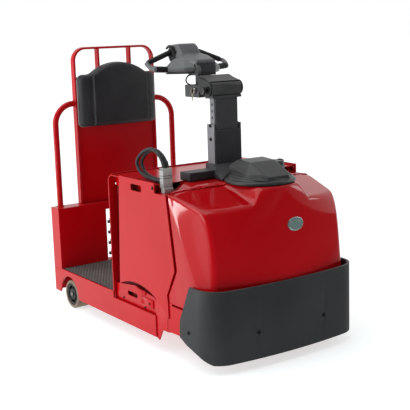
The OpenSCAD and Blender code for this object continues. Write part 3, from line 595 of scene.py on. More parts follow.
def inside_either(a, b, r):
    """Distance to what lies inside one surface or the other, with the inner corner filled to r."""
    return np.maximum(r, np.minimum(a, b)) - np.hypot(np.maximum(r - a, 0.0), np.maximum(r - b, 0.0))


def eased_step(t):
    """0 below 0, 1 above 1, and a smooth cubic rise between."""
    t = np.clip(t, 0.0, 1.0)
    return t * t * (3.0 - 2.0 * t)


hood_foot, hood_rise = 0.258, 0.535


def nose_arc(z):
    """Front and radius of the nose at a height: the front leans back from 0.803 m as a parabola, and
    the radius shrinks from 1.15 m to the cap's 0.169 m, slowly at first."""
    up = np.clip(z - hood_foot, 0.0, hood_rise)
    return 0.803 - 0.0428 * up - 0.0597 * up**2, 1.15 - 0.981 * (up / hood_rise) ** 4.5


def hood_half(x, z):
    """Half-width of the hood: 412 mm, drawn out to the panels' 419.5 mm behind the seam. Ahead of a
    ridge that runs forward on its way down, the flank turns in to the corner line, softly over 14 mm."""
    half = 0.412 + 0.0075 * np.clip((0.49 - x) / 0.144, 0.0, 1.0)
    down = np.clip(0.72 - z, -0.05, 0.42)
    ridge_x = 0.468 + 0.52 * down
    corner_x = 0.659 + 0.24 * down
    corner_y = 0.378 - 0.03 * down
    slope = (0.412 - corner_y) / np.maximum(corner_x - ridge_x, 0.04)
    ahead_of = x - ridge_x
    return half - slope * 0.5 * (ahead_of + np.sqrt(ahead_of**2 + 0.014**2))


def hood_distance(p):
    """Distance of points from the moulded form. Its side is |y| less the half-width and its nose an
    arc about the middle line, rounded together to 13 mm. Its top is a shoulder plane on each side or
    a leaning flank over it, both cut level under the motor cap. Side and top meet in a round edge
    that grows from 9 mm to 12 mm towards the nose."""
    x, y, z = p[..., 0], np.abs(p[..., 1]), p[..., 2]
    front, radius = nose_arc(z)
    middle = front - radius
    nose = np.where(x > middle, np.hypot(x - middle, y) - radius, y - radius - 0.5 * (middle - x))
    around = inside_both(y - hood_half(x, z), nose, 0.013)
    shoulder = (z - 0.710 + 0.284 * (x - 0.661) + 0.166 * (y - 0.378)) / 1.053
    flank = (y - 0.170 + 0.21 * (x - 0.450) + 0.64 * (z - 0.794)) / 1.206
    top = inside_both(inside_either(shoulder, flank, 0.006), z - 0.7935, 0.010)
    edge = 0.009 + 0.003 * eased_step((x - 0.47) / 0.22)
    return inside_both(around, top, edge)


def cast(start, way, reach, distance):
    """Points where lines from the starts, along their ways, leave a form: the distance is halved in
    on 26 times between the start, which is inside, and the reach. One start or way serves all."""
    start, way = np.broadcast_arrays(np.asarray(start, float), way)
    low, high = np.zeros(start.shape[:-1]), np.full(start.shape[:-1], reach)
    for _ in range(26):
        middle = 0.5 * (low + high)
        within = distance(start + middle[..., None] * way) < 0.0
        low, high = np.where(within, middle, low), np.where(within, high, middle)
    return start + low[..., None] * way


def seam_at(z):
    """Where the hood's side begins along the machine: it runs forward and then back on the way up."""
    return np.interp(z, [0.253, 0.296, 0.42, 0.763], [0.441, 0.435, 0.504, 0.453])


# points along each row of the hood: side, corner and nose, and rows up its wall, edge and top
sides_n, corner_n, nose_n, wall_n, fan_n, top_n = 36, 14, 76, 60, 14, 40
# how far the casting line lies inside the wall, and the round opening under the motor cap
inset, motor_x, ring_r = 0.045, 0.594, 0.124
along_side = np.linspace(0.0, 1.0, sides_n + 1)[:-1]
along_corner = np.linspace(0.0, 1.0, corner_n + 1)[:-1]
along_nose = np.linspace(-1.0, 1.0, nose_n + 1)


def inner_line(z):
    """A line 45 mm inside the wall and its outward direction, at the height given for each column:
    along the right side, round the corner, across the nose and back down the left side."""
    front, radius = nose_arc(z)
    half = 0.367
    centre = front - radius
    corner_x = centre + np.sqrt(np.maximum((radius - inset) ** 2 - half**2, 0.0004))
    corner_turn = np.arctan2(half, corner_x - centre)
    n = sides_n
    first = seam_at(z[..., :n])
    x_side = first + (corner_x[..., :n] - first) * along_side
    corner = slice(n, n + corner_n)
    x_corner = corner_x[..., corner]
    turn_corner = 0.5 * np.pi + (corner_turn[..., corner] - 0.5 * np.pi) * along_corner
    nose_span = slice(n + corner_n, n + corner_n + nose_n + 1)
    y_nose = half * along_nose
    slope = np.arcsin(np.clip(y_nose / (radius[..., nose_span] - inset), -1.0, 1.0))
    x_nose = centre[..., nose_span] + (radius[..., nose_span] - inset) * np.cos(slope)
    back_corner = slice(n + corner_n + nose_n + 1, n + 2 * corner_n + nose_n + 1)
    turn_back = 0.5 * np.pi + (corner_turn[..., back_corner] - 0.5 * np.pi) * along_corner[::-1]
    back_side = slice(n + 2 * corner_n + nose_n + 1, None)
    last = seam_at(z[..., back_side])
    x_back = last + (corner_x[..., back_side] - last) * along_side[::-1]
    ones = np.ones_like
    line_x = np.concatenate([x_side, x_corner, x_nose, corner_x[..., back_corner], x_back], axis=-1)
    right_y, left_y = [-half * ones(x_side), -half * ones(x_corner)], [half * ones(turn_back), half * ones(x_back)]
    line_y = np.concatenate(right_y + [y_nose * ones(x_nose)] + left_y, axis=-1)
    bearing = np.concatenate(
        [-0.5 * np.pi * ones(x_side), -turn_corner, slope, turn_back, 0.5 * np.pi * ones(x_back)], axis=-1
    )
    return line_x, line_y, np.cos(bearing), np.sin(bearing)


columns = 2 * sides_n + 2 * corner_n + nose_n + 1
up = np.array([0.0, 0.0, 1.0])


def risen(plan):
    """Points of the hood's top face over the points of a plan, found by casting up from inside."""
    return cast(xyz(plan[..., 0], plan[..., 1], 0.6), up, 0.22, hood_distance)


# the edge's height moves the line below it, and the line moves the edge: a few turns settle both
edge_z = np.full(columns, 0.66)
for _ in range(5):
    edge_z = risen(np.stack(inner_line(edge_z)[:2], axis=-1))[..., 2] - inset
wall_z = hood_foot + (edge_z - hood_foot) * np.linspace(0.0, 1.0, wall_n)[:, None]
line_x, line_y, way_x, way_y = inner_line(wall_z)
wall_rows = cast(xyz(line_x, line_y, wall_z), xyz(way_x, way_y, 0.0), 0.10, hood_distance)
# over the wall's top the lines fan up, and along the sides they follow the seam's lean
lift = np.linspace(0.0, 0.5 * np.pi, fan_n + 1)[1:, None]
line_x, line_y, way_x, way_y = inner_line(np.broadcast_to(edge_z, (fan_n, columns)))
on_side = np.zeros(columns, bool)
on_side[:sides_n] = on_side[-sides_n:] = True
line_x = np.where(on_side, inner_line(edge_z + inset * np.sin(lift))[0], line_x)
fan_way = xyz(way_x * np.cos(lift), way_y * np.cos(lift), np.sin(lift))
fan_rows = cast(xyz(line_x, line_y, edge_z), fan_way, 0.14, hood_distance)
inner_edge = fan_rows[-1]
bearing = np.arctan2(inner_edge[:, 1], inner_edge[:, 0] - motor_x)
ring_xy = np.stack([motor_x + ring_r * np.cos(bearing), ring_r * np.sin(bearing)], axis=-1)
share = np.linspace(0.0, 1.0, top_n + 1)[1:, None, None]
top_rows = risen(inner_edge[None, :, :2] * (1.0 - share) + ring_xy[None] * share)
shell = np.concatenate([wall_rows, fan_rows, top_rows], axis=0)

# the tongue: from its rear edge in to the same ring, sharing the columns at the two seams
tongue_n = 84
corner_line = through(
    [(0.453, 0.4135), (0.441, 0.388), (0.421, 0.344), (0.387, 0.289), (0.369, 0.249), (0.369, 0.12), (0.369, 0.0)], 8
)
rear_line = np.vstack([corner_line, corner_line[-2::-1] * [1, -1]])
rear_xy = points_at(rear_line, np.linspace(0.0, run_of(rear_line)[-1], tongue_n + 1))
left_turn = np.arctan2(ring_xy[-1, 1], ring_xy[-1, 0] - motor_x)
rear_turn = np.linspace(left_turn, 2 * np.pi - left_turn, tongue_n + 1)
rear_ring = np.stack([motor_x + ring_r * np.cos(rear_turn), ring_r * np.sin(rear_turn)], axis=-1)
seam_column = np.concatenate([wall_rows[-1:, -1], fan_rows[:, -1], top_rows[:, -1]], axis=0)
whole = np.linalg.norm(seam_column[-1, :2] - seam_column[0, :2])
part = (1.0 - np.linalg.norm(seam_column[:, :2] - seam_column[-1, :2], axis=1) / whole)[:, None, None]
tongue = risen(rear_xy[None] * (1.0 - part) + rear_ring[None] * part)
tongue[:, 0] = seam_column
tongue[:, -1] = seam_column * [1, -1, 1]

hood_mesh = woven("hood_shell", shell)
tongue_mesh = woven("tongue", tongue)
both_meshes = bmesh.new()
both_meshes.from_mesh(hood_mesh)
both_meshes.from_mesh(tongue_mesh)
bmesh.ops.remove_doubles(both_meshes, verts=both_meshes.verts, dist=2e-5)
bmesh.ops.recalc_face_normals(both_meshes, faces=both_meshes.faces)
both_meshes.to_mesh(hood_mesh)
both_meshes.free()
lying = np.zeros(3 * len(hood_mesh.polygons))
hood_mesh.polygons.foreach_get("normal", lying)
if lying[2::3].sum() < 0.0:
    hood_mesh.flip_normals()
red_hood = finish(
    "red_hood", (0.40, 0.0008, 0.004), (0.45, 0.0015, 0.006), (0.07, 0.12), tone=2.0, relief=(110.0, 0.2, 0.00003),
    worn=((0.3, 0.02, 0.02), 0.002, 0.35), dusty=0.015, specular=0.17, coat=0.3, coat_rough=0.04,
)
hood = placed(hood_mesh, red_hood, "chassis", ("hood",))
wall = hood.modifiers.new("wall", "SOLIDIFY")
wall.thickness = 0.006
wall.offset = -1.0
hood_mesh.shade_smooth()

# ---- hood badge ----
# A small oval badge of pressed metal is bonded to the hood's front, left blank: a bright rim round
# a plain grey-green field, both lying on the hood's curve.
badge_y, badge_z, badge_w, badge_h = 0.051, 0.6155, 0.047, 0.031


def hood_front(y, z):
    """Points of the hood's front face at the given places across and up, found by casting forwards."""
    return cast(xyz(0.66, y, z), (1.0, 0.0, 0.0), 0.2, hood_distance)


def oval(name, heights, scale):
    """A low oval button: rings shrinking from the rim to the middle, each lifted off the hood's face
    by its own height."""
    turn_by = turns(72)
    scale, heights = np.asarray(scale, float)[:, None], np.asarray(heights, float)
    rings = hood_front(badge_y + badge_w * scale * np.cos(turn_by), badge_z + badge_h * scale * np.sin(turn_by))
    rings[..., 0] += heights[:, None]
    return settled(woven(name, rings, around=True, caps=True), sharp=50.0)


badge_rim = finish(
    "badge_rim", (0.42, 0.44, 0.43), (0.55, 0.57, 0.56), (0.2, 0.3), tone=80.0, relief=(800.0, 0.3, 0.00004),
    metallic=0.85,
)
badge_field = finish(
    "badge_field", (0.16, 0.24, 0.23), (0.24, 0.33, 0.31), (0.28, 0.38), tone=70.0, relief=(900.0, 0.5, 0.00006),
    metallic=0.4,
)
rim_scale, rim_lift = [1.0, 1.0, 0.96, 0.88, 0.84, 0.3], [-0.001, 0.0018, 0.0030, 0.0030, 0.0020, 0.0016]
placed(oval("badge_rim", rim_lift, rim_scale), badge_rim)
placed(oval("badge_field", [0.0012, 0.0024, 0.0026, 0.0028], [0.83, 0.81, 0.6, 0.1]), badge_field)

# ---- motor cap ----
# A black moulded cover closes the round opening over the drive motor. A stepped disc carries a
# wedge-shaped cowl, upright towards the column and falling to the front, and a small round boss.
cap_x, cap_z, cap_r = 0.594, 0.794, 0.164


def cap_height(r):
    """Height of the disc's top over the hood at a distance from its middle: a thin lip, a step, then
    a slow dome."""
    radii = [0.0, 0.06, 0.1, 0.132, 0.143, 0.1475, 0.157, 0.162]
    return np.interp(r, radii, [0.042, 0.0405, 0.037, 0.030, 0.0235, 0.019, 0.017, 0.012])


# the cowl's left corners from the cap's middle: rear foot, top rear, top front, side and front foot
cowl_posts = {
    "R": (-0.124, 0.086, 0.070), "A": (-0.070, 0.072, 0.098), "B": (0.020, 0.070, 0.092),
    "C": (0.044, 0.113, 0.040), "D": (0.136, 0.060, 0.046),
}
# each flat face is a unit normal and how far out it lies: three through three corners each, five
# that cross the middle through one corner, and two that stand almost upright on the foot
cowl_faces = []
for trio in ("ABC", "RAC", "BDC"):
    a, b, c = (np.array(cowl_posts[k]) for k in trio)
    across_face = np.cross(b - a, c - a)
    across_face /= np.linalg.norm(across_face) * (1.0 if across_face[1] > 0.0 else -1.0)
    cowl_faces.append((across_face, float(across_face @ a)))
for tilt, post in (
    ((0.0667, 0.0, 1.0), "A"), ((0.479, 0.0, 1.0), "B"), ((-0.62, 0.0, 1.0), "A"),
    ((1.0, 0.0, 0.12), "D"), ((-1.0, 0.0, 0.1), "R"),
):
    tilt = np.array(tilt) / np.linalg.norm(tilt)
    cowl_faces.append((tilt, float(tilt @ np.array(cowl_posts[post]))))
for low, high in (("R", "C"), ("C", "D")):
    a, b = np.array(cowl_posts[low])[:2], np.array(cowl_posts[high])[:2]
    out = np.array([-(b - a)[1], (b - a)[0], 0.1 * np.linalg.norm(b - a)])
    out /= np.linalg.norm(out)
    out = out if out[1] > 0 else -out * [1, 1, -1]
    cowl_faces.append((out, float(out[:2] @ a) + out[2] * 0.03))


def cap_distance(p):
    """Distance of points from the cover, which is the disc, the cowl or the boss. The cowl is what
    lies behind all its flat faces, the sum of their exponentials rounding the edges between them to
    a few millimetres."""
    x, y, z = p[..., 0] - cap_x, p[..., 1], p[..., 2] - cap_z
    r = np.hypot(x, y)
    disc = inside_both((z - cap_height(r)) * 0.96, r - cap_r + 0.0005, 0.002)
    soft = 0.0011
    gaps = np.stack([xyz(x, np.abs(y), z) @ n - h for n, h in cowl_faces], axis=-1)
    most = gaps.max(axis=-1)
    cowl = most + soft * np.log(np.exp((gaps - most[..., None]) / soft).sum(axis=-1)) - 0.0005
    boss_r = np.hypot(x + 0.004, y - 0.092)
    boss = inside_both(boss_r - 0.041, z - 0.084, 0.006)
    return inside_either(inside_either(disc, cowl, 0.003), boss, 0.003)


turn_by = turns(300)
rise = [np.linspace(0.0, 0.16, 22), np.linspace(0.16, 0.62, 62)[1:], np.linspace(0.62, 1.0, 44)[1:-1]]
rise = (np.concatenate(rise) * 0.5 * np.pi)[:, None]
way = xyz(np.cos(rise) * np.cos(turn_by), np.cos(rise) * np.sin(turn_by), np.sin(rise))
cover = cast((cap_x, 0.0, cap_z + 0.0062), way, 0.26, cap_distance)
foot = cover[:1].copy()
foot[..., 2] = cap_z + 0.0048
under = foot.copy()
under[..., :2] = [cap_x, 0.0] + (under[..., :2] - [cap_x, 0.0]) * 0.8
cap_plastic = finish(
    "cap_plastic", (0.013, 0.0135, 0.0145), (0.026, 0.027, 0.029), (0.3, 0.42), tone=9.0, relief=(520.0, 0.7, 0.0002),
    worn=((0.13, 0.13, 0.135), 0.003, 0.7), dusty=0.04, specular=0.4,
)
cover = woven("cap_cover", np.concatenate([under, foot, cover]), around=True, caps=True)
placed(settled(cover, sharp=60.0), cap_plastic, "chassis", ("motor_cap",))
# a soft black ring under the disc's lip keeps water out
seal = [(0.150, 0.0005), (0.1585, 0.0005), (0.1595, 0.0028), (0.1585, 0.0052), (0.150, 0.0052)]
fitted("cap_seal", seal, [(cap_x, 0.0, cap_z)], lead_rubber, way=(0, 0, 1), sides=96)
# two moulded ribs run from the cowl's rear round its sides to the low front
rib_points = [
    (-0.118, 0.104, 0.046), (-0.05, 0.121, 0.048), (0.03, 0.127, 0.043), (0.095, 0.105, 0.040), (0.138, 0.06, 0.036)
]
for side, name in ((-1, "right"), (1, "left")):
    line = through(rib_points, 12) * [1, side, 1]
    base = cast(line * [1, 1, 0] + [cap_x, 0.0, cap_z + 0.001], up, 0.2, cap_distance)
    thick = 0.0045 * np.sin(np.linspace(0.05, 0.95, len(line)) * np.pi) ** 0.5
    placed(swept(f"{name}_cap_rib", base, thick, sides=12, side=(0.0, 0.0, 1.0)), cap_plastic)

# ---- bumper ----
# A heavy plate bent round the nose and coated in a coarse charcoal powder, its edges painted lighter
# in broken patches: wear all round, and along the top edge a painted highlight. Two bolts hold it in
# front and one on each side.
bumper_coat = finish(
    "bumper_coat", (0.025, 0.026, 0.027), (0.036, 0.037, 0.039), (0.46, 0.58), tone=3.0, relief=(620.0, 0.9, 0.00022),
    worn=((0.14, 0.14, 0.145), 0.003, 0.6), dusty=0.16,
)
dress(bumper_coat, "bumper")
eased(0.0022, "bumper")
bolt_r = 0.0088
front_x = cad_box[1][0] - 0.0069
front_bolts = [(front_x, side * 0.19, 0.170) for side in (-1, 1)]
side_bolts = [(0.613, side * 0.4302, 0.167) for side in (-1, 1)]
bolt_ways = [(0.985, -0.17, 0), (0.985, 0.17, 0), (0, -1, 0), (0, 1, 0)]
bumper_head = [(bolt_r, -0.003)] + button_head(bolt_r)
fitted("bumper_bolts", bumper_head, front_bolts + side_bolts, dark_bolt, way=bolt_ways)

# ---- steering column ----
# Folded sheet steel in a fine black texture: a cross bar and a raked foot on the deck, a square
# sleeve, and in it the post that sets the height, with light zinc rails and a row of holes.
column_coat = finish(
    "column_coat", (0.027, 0.0265, 0.030), (0.042, 0.041, 0.046), (0.42, 0.54), tone=8.0,
    relief=(560.0, 0.8, 0.00016), worn=((0.13, 0.13, 0.135), 0.002, 0.5), dusty=0.12,
)
post_coat = finish(
    "post_coat", (0.038, 0.037, 0.042), (0.056, 0.055, 0.06), (0.36, 0.46), tone=10.0, relief=(500.0, 0.6, 0.0001),
    worn=((0.14, 0.14, 0.15), 0.0018, 0.5), dusty=0.06,
)
rail_zinc = finish(
    "rail_zinc", (0.15, 0.15, 0.165), (0.2, 0.2, 0.215), (0.38, 0.5), tone=14.0, relief=(700.0, 0.5, 0.00008),
    worn=((0.32, 0.32, 0.33), 0.0012, 0.5), dusty=0.05, metallic=0.3,
)
dress(column_coat, "column_base", "column_sleeve")
dress(post_coat, "column_post")
dress(rail_zinc, "sleeve_cheeks", "post_rails")
eased(0.003, "column_base", "column_sleeve", "column_post")
eased(0.0008, "sleeve_cheeks", "post_rails")
# bolts clamp the post in its sleeve, and thin rubber plugs close the post's spare holes
clamp_head = [(0.0062, -0.004)] + button_head(0.0085)
clamp_spots = [(0.326, side * 0.0792, z) for side in (-1, 1) for z in (0.969, 1.033)]
fitted("clamp_bolts", clamp_head, clamp_spots, dark_bolt)
hole_plug = [(0.0062, 0.0), (0.0062, 0.0003), (0.0050, 0.0004), (0.0040, 0.0001)]
post_spots = [(0.328, side * 0.0679, z) for side in (-1, 1) for z in (1.069, 1.100, 1.131)]
fitted("post_plugs", hole_plug, post_spots, lead_rubber, "steering_column")

# ---- steering head ----
# The cast head sits on the post. Its sloping lid meets the rounded front in a black joint, black
# caps close its ends, and a square console for the controls is bolted on behind it.
head_coat = finish(
    "head_coat", (0.038, 0.038, 0.0395), (0.056, 0.056, 0.058), (0.36, 0.46), tone=10.0, relief=(540.0, 0.7, 0.00014),
    worn=((0.15, 0.15, 0.155), 0.0025, 0.5), dusty=0.12,
)
cap_black = finish(
    "cap_black", (0.01, 0.01, 0.011), (0.018, 0.018, 0.019), (0.3, 0.42), tone=20.0, relief=(600.0, 0.4, 0.00008),
    worn=((0.07, 0.07, 0.075), 0.002, 0.5), dusty=0.06,
)
dress(head_coat, "column_head", "key_console")
dress(cap_black, "head_end_caps")
eased(0.003, "key_console")
eased(0.002, "column_head")
eased(0.0025, "head_end_caps")
head_low, head_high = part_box("column_head")
# the joint between the lid and the rounded front is a black cord of rubber pressed into its groove
seal_rubber = finish(
    "seal_rubber", (0.006, 0.006, 0.006), (0.012, 0.012, 0.012), (0.5, 0.6), tone=60.0, relief=(900.0, 0.3, 0.00005),
    dusty=0.0,
)
seal_y = np.linspace(head_low.y + 0.001, head_high.y - 0.001, 40)
seal = xyz(head_high.x - 0.0165, seal_y, head_high.z - 0.0283)
placed(swept("lid_seal", seal, 0.0028, sides=10, side=(0.0, 0.0, 1.0)), seal_rubber, "steering_column")

# ---- console controls ----
# On the console's right wall are a key switch, a bright barrel in a dark collar with a brass key and
# a spare on its ring, and a black knob with a ribbed rim that is pushed on its spindle.
console_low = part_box("key_console")[0]
switch_at = np.array([0.208, console_low.y, console_low.z + 0.034])
collar = [(0.0155, 0.0), (0.0155, 0.002), (0.0140, 0.0032), (0.0112, 0.0032), (0.0112, 0.0)]
fitted("switch_collar", collar, [switch_at], cap_black, "steering_column", sides=32)
knob_at = np.array([0.318, -0.094, console_low.z + 0.037])
knob_profile = [
    (0.010, 0.0), (0.0105, 0.010), (0.0185, 0.0125), (0.0198, 0.015), (0.0198, 0.0205), (0.0182, 0.0235),
    (0.010, 0.0243), (0.0095, 0.0232), (0.002, 0.0232),
]
knob_plastic = finish(
    "knob_plastic", (0.012, 0.012, 0.013), (0.022, 0.022, 0.023), (0.25, 0.36), tone=40.0,
    relief=(800.0, 0.3, 0.00005), worn=((0.08, 0.08, 0.08), 0.0012, 0.5),
)
knob_mesh = turned("column_knob", knob_profile, [knob_at], (0.0, -1.0, 0.0), sides=48)
placed(knob_mesh, knob_plastic, "steering_column", ("console_controls",))
rib_turn = turns(24)
rib_spots = knob_at + xyz(0.0192 * np.cos(rib_turn), -0.0150, 0.0192 * np.sin(rib_turn))
knob_rib = [(0.0012, 0.0), (0.0012, 0.0050), (0.0005, 0.0056)]
fitted("knob_ribs", knob_rib, rib_spots, knob_plastic, "steering_column", sides=8)
barrel = [(0.0108, 0.0), (0.0108, 0.0058), (0.0098, 0.0072), (0.0052, 0.0074), (0.0048, 0.0062), (0.001, 0.0062)]
fitted("switch_barrel", barrel, [switch_at], bright_bolt, "steering_column", sides=36)


def plate(name, outline, thick, place, across_way=(1.0, 0.0, 0.0), up_way=(0.0, 0.0, 1.0)):
    """A flat plate: the outline's points (across, up) laid out at a place and given a thickness to
    either side, with a slightly smaller outline on both faces so that its edges are eased."""
    outline = np.asarray(outline, float)
    middle = outline.mean(axis=0)
    across_way, up_way = np.asarray(across_way, float), np.asarray(up_way, float)
    square = np.cross(across_way, up_way)
    small = middle + (outline - middle) * (1.0 - 0.12 * thick / np.ptp(outline, axis=0).min())
    rings = [(small, -0.5), (outline, -0.4), (outline, 0.4), (small, 0.5)]
    grid = np.stack([
        np.asarray(place) + o[:, :1] * across_way + o[:, 1:] * up_way + k * thick * square for o, k in rings
    ])
    return settled(woven(name, grid, around=True, caps=True), sharp=40.0)


key_brass = finish(
    "key_brass", (0.5, 0.44, 0.3), (0.62, 0.56, 0.4), (0.25, 0.36), tone=90.0, relief=(900.0, 0.3, 0.00004),
    metallic=1.0, dusty=0.0,
)
turn_by = turns(28)
bow = np.stack([0.0085 * np.cos(turn_by), 0.0105 * np.sin(turn_by)], axis=1)
key_spot = switch_at + [0.0, -0.0155, 0.0]
placed(plate("key_bow", bow, 0.0022, key_spot, (0.0, 1.0, 0.0)), key_brass, "steering_column")
ring_r, ring_turn = 0.0045, np.linspace(0.0, 2.0 * math.pi, 22)
key_ring = [key_spot + [0.0, -0.001 + ring_r * math.sin(a), -0.0125 + ring_r * math.cos(a)] for a in ring_turn]
placed(swept("key_ring", key_ring, 0.0007, sides=8, side=(1.0, 0.0, 0.0)), key_brass, "steering_column")
blade = [
    (-0.0032, 0.0), (0.0032, 0.0), (0.0036, -0.006), (0.0022, -0.009), (0.0022, -0.030), (0.0, -0.034),
    (-0.0022, -0.031), (-0.0014, -0.026), (-0.0024, -0.021), (-0.0016, -0.016), (-0.0026, -0.009), (-0.0036, -0.006),
]
spare_key = plate("spare_key", blade[::-1], 0.0018, key_spot + [0.0, -0.001, -0.0155], (0.8, 0.6, 0.0))
placed(spare_key, key_brass, "steering_column")

# ---- steering handle ----
# A die-cast grey handle turns the drive wheel. A raised pod at its rear carries the switches, the
# back falls to a rounded front edge, and on each side a loop of tube with two grips is cast on.
handle_cast = finish(
    "handle_cast", (0.098, 0.101, 0.107), (0.15, 0.153, 0.16), (0.34, 0.46), tone=12.0, relief=(520.0, 0.6, 0.0001),
    worn=((0.28, 0.28, 0.29), 0.003, 0.4), dusty=0.08, metallic=0.25,
)
casting_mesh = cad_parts["handle_body"].data.copy()
casting_mesh.name = "handle_casting"
casting = placed(settled(casting_mesh, sharp=180.0), handle_cast, "steering_handle", ("handle_body",))
skin = casting.modifiers.new("skin", "REMESH")
skin.mode = "VOXEL"
skin.voxel_size = 0.0032
skin.use_smooth_shade = True
ease = casting.modifiers.new("ease", "SMOOTH")
ease.factor = 0.5
ease.iterations = 8

grip_rubber = finish(
    "grip_rubber", (0.008, 0.008, 0.009), (0.016, 0.016, 0.017), (0.5, 0.62), tone=30.0, relief=(800.0, 0.8, 0.00015),
    dusty=0.08,
)
hub_cover = finish(
    "hub_cover", (0.03, 0.031, 0.034), (0.05, 0.051, 0.055), (0.36, 0.48), tone=14.0, relief=(480.0, 0.7, 0.00012),
    worn=((0.1, 0.1, 0.105), 0.003, 0.4), dusty=0.08,
)
dress(hub_cover, "handle_hub")
dress(grip_rubber, "handle_grips")
eased(0.002, "handle_hub")

# ---- floor mat ----
# A ribbed rubber mat lies loose on the platform. Its face is covered with small round studs in
# staggered rows, worn paler on top.
mat_rubber = finish(
    "mat_rubber", (0.022, 0.022, 0.023), (0.036, 0.036, 0.037), (0.6, 0.75), tone=5.0, relief=(500.0, 0.7, 0.0002),
    dusty=0.25,
)
stud_rubber = finish(
    "stud_rubber", (0.05, 0.05, 0.05), (0.1, 0.1, 0.098), (0.5, 0.65), tone=25.0, relief=(700.0, 0.6, 0.0001),
    dusty=0.5,
)
dress(mat_rubber, "floor_mat")
eased(0.0015, "floor_mat")
mat_low, mat_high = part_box("floor_mat")
pitch_x, pitch_y, stud_r = 0.0155, 0.018, 0.0052
xs = np.arange(mat_low.x + 0.011, mat_high.x - 0.008, pitch_x)
ys = np.arange(mat_low.y + 0.012, mat_high.y - 0.016, pitch_y)
spots = np.stack(np.meshgrid(xs, ys, indexing="ij"), axis=-1)
spots[1::2, :, 1] += 0.5 * pitch_y
stud_places = xyz(*spots.reshape(-1, 2).T, mat_high.z - 0.0002)
stud = [(stud_r, 0.0), (0.82 * stud_r, 0.0013), (0.4 * stud_r, 0.0017)]
fitted("mat_studs", stud, stud_places, stud_rubber, way=(0, 0, 1), sides=7)

# ---- backrest cushion ----
# Foam on a plywood back, covered in charcoal vinyl: a thick round-topped centre with a thinner wing
# on each side, a sewn crease between them and a light welt round the back edge.
cushion_low, cushion_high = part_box("backrest_cushion")
vinyl = finish(
    "vinyl", (0.019, 0.0195, 0.022), (0.03, 0.031, 0.034), (0.4, 0.5), tone=7.0, relief=(340.0, 0.9, 0.00028),
    worn=((0.016, 0.016, 0.018), 0.004, 0.9), dusty=0.05,
)
welt_vinyl = finish(
    "welt_vinyl", (0.2, 0.2, 0.2), (0.28, 0.28, 0.275), (0.45, 0.55), tone=30.0, relief=(600.0, 0.7, 0.0001),
    dusty=0.1,
)
pad_back, pad_front, pad_foot = cushion_low.x, cushion_high.x, cushion_low.z
pad_half, wing_top, dome_half, dome_rise = 0.245, pad_foot + 0.28, 0.172, 0.062
dome_r = (dome_half**2 + dome_rise**2) / (2 * dome_rise)


def pad_outline_distance(y, z):
    """Distance inside the cushion's front outline: an oblong with rounded corners, or the slice of a
    disc that stands on its middle, the two joined with a small fillet."""
    a = np.abs(y) - pad_half
    lower = inside_both(a, pad_foot - z, 0.022)
    wings = inside_both(lower, z - wing_top, 0.03)
    disc = np.hypot(y, z - (wing_top + dome_rise - dome_r)) - dome_r
    dome = inside_both(np.maximum(disc, np.abs(y) - dome_half - 0.004), wing_top - 0.1 - z, 0.002)
    return inside_either(wings, dome, 0.012)


def pad_distance(p):
    """Distance of points from the cushion: its outline, its flat back and a crowned front. The front
    is full over the middle, sinks 10 mm in a narrow sewn crease and falls away over the wings, and
    its edge is rounded to 24 mm."""
    x, y, z = p[..., 0], p[..., 1], p[..., 2]
    far = np.abs(y)
    full = pad_front - pad_back - 0.0015
    centre = full * (1.0 - 0.10 * (far / dome_half) ** 2 - 0.05 * ((z - 1.13) / 0.18) ** 2)
    wing = full * (0.74 - 0.42 * np.clip((far - dome_half) / (pad_half - dome_half), 0.0, 1.0) ** 1.6)
    mix = eased_step((far - dome_half + 0.006) / 0.012)
    depth = centre * (1.0 - mix) + wing * mix - 0.010 * np.exp(-(((far - dome_half - 0.001) / 0.0042) ** 2))
    face = (x - pad_back - depth) * 0.9
    outline = pad_outline_distance(y, z)
    return inside_both(inside_both(outline, face, 0.024), pad_back + 0.0005 - x, 0.004)


turn_by = turns(420)
middle = np.array([pad_back + 0.02, 0.0, pad_foot + 0.155])
lean = [np.linspace(-1.0, -0.12, 26), np.linspace(-0.12, 0.3, 70)[1:], np.linspace(0.3, 1.0, 58)[1:-1]]
tilt = np.concatenate(lean)[:, None] * 0.5 * np.pi * 0.999
way = xyz(np.sin(tilt), np.cos(tilt) * np.cos(turn_by), np.cos(tilt) * np.sin(turn_by))
pad_mesh = woven("cushion_pad", cast(middle, way, 0.4, pad_distance), around=True, caps=True)
cushion = placed(settled(pad_mesh, sharp=80.0), vinyl, "chassis", ("backrest_cushion",))


def rim_distance(p):
    """Distance of points from the cushion's outline alone."""
    return pad_outline_distance(p[..., 1], p[..., 2])


rim_way = xyz(0.0, np.cos(turn_by), np.sin(turn_by))
rim = cast(middle, rim_way, 0.4, rim_distance)
rim[:, 0] = pad_back + 0.0045
rim[:, 1:] -= rim_way[:, 1:] * 0.0012
welt = np.vstack([rim, rim[:1]])
placed(swept("cushion_welt", welt, 0.0036, sides=10, side=(1.0, 0.0, 0.0)), welt_vinyl)
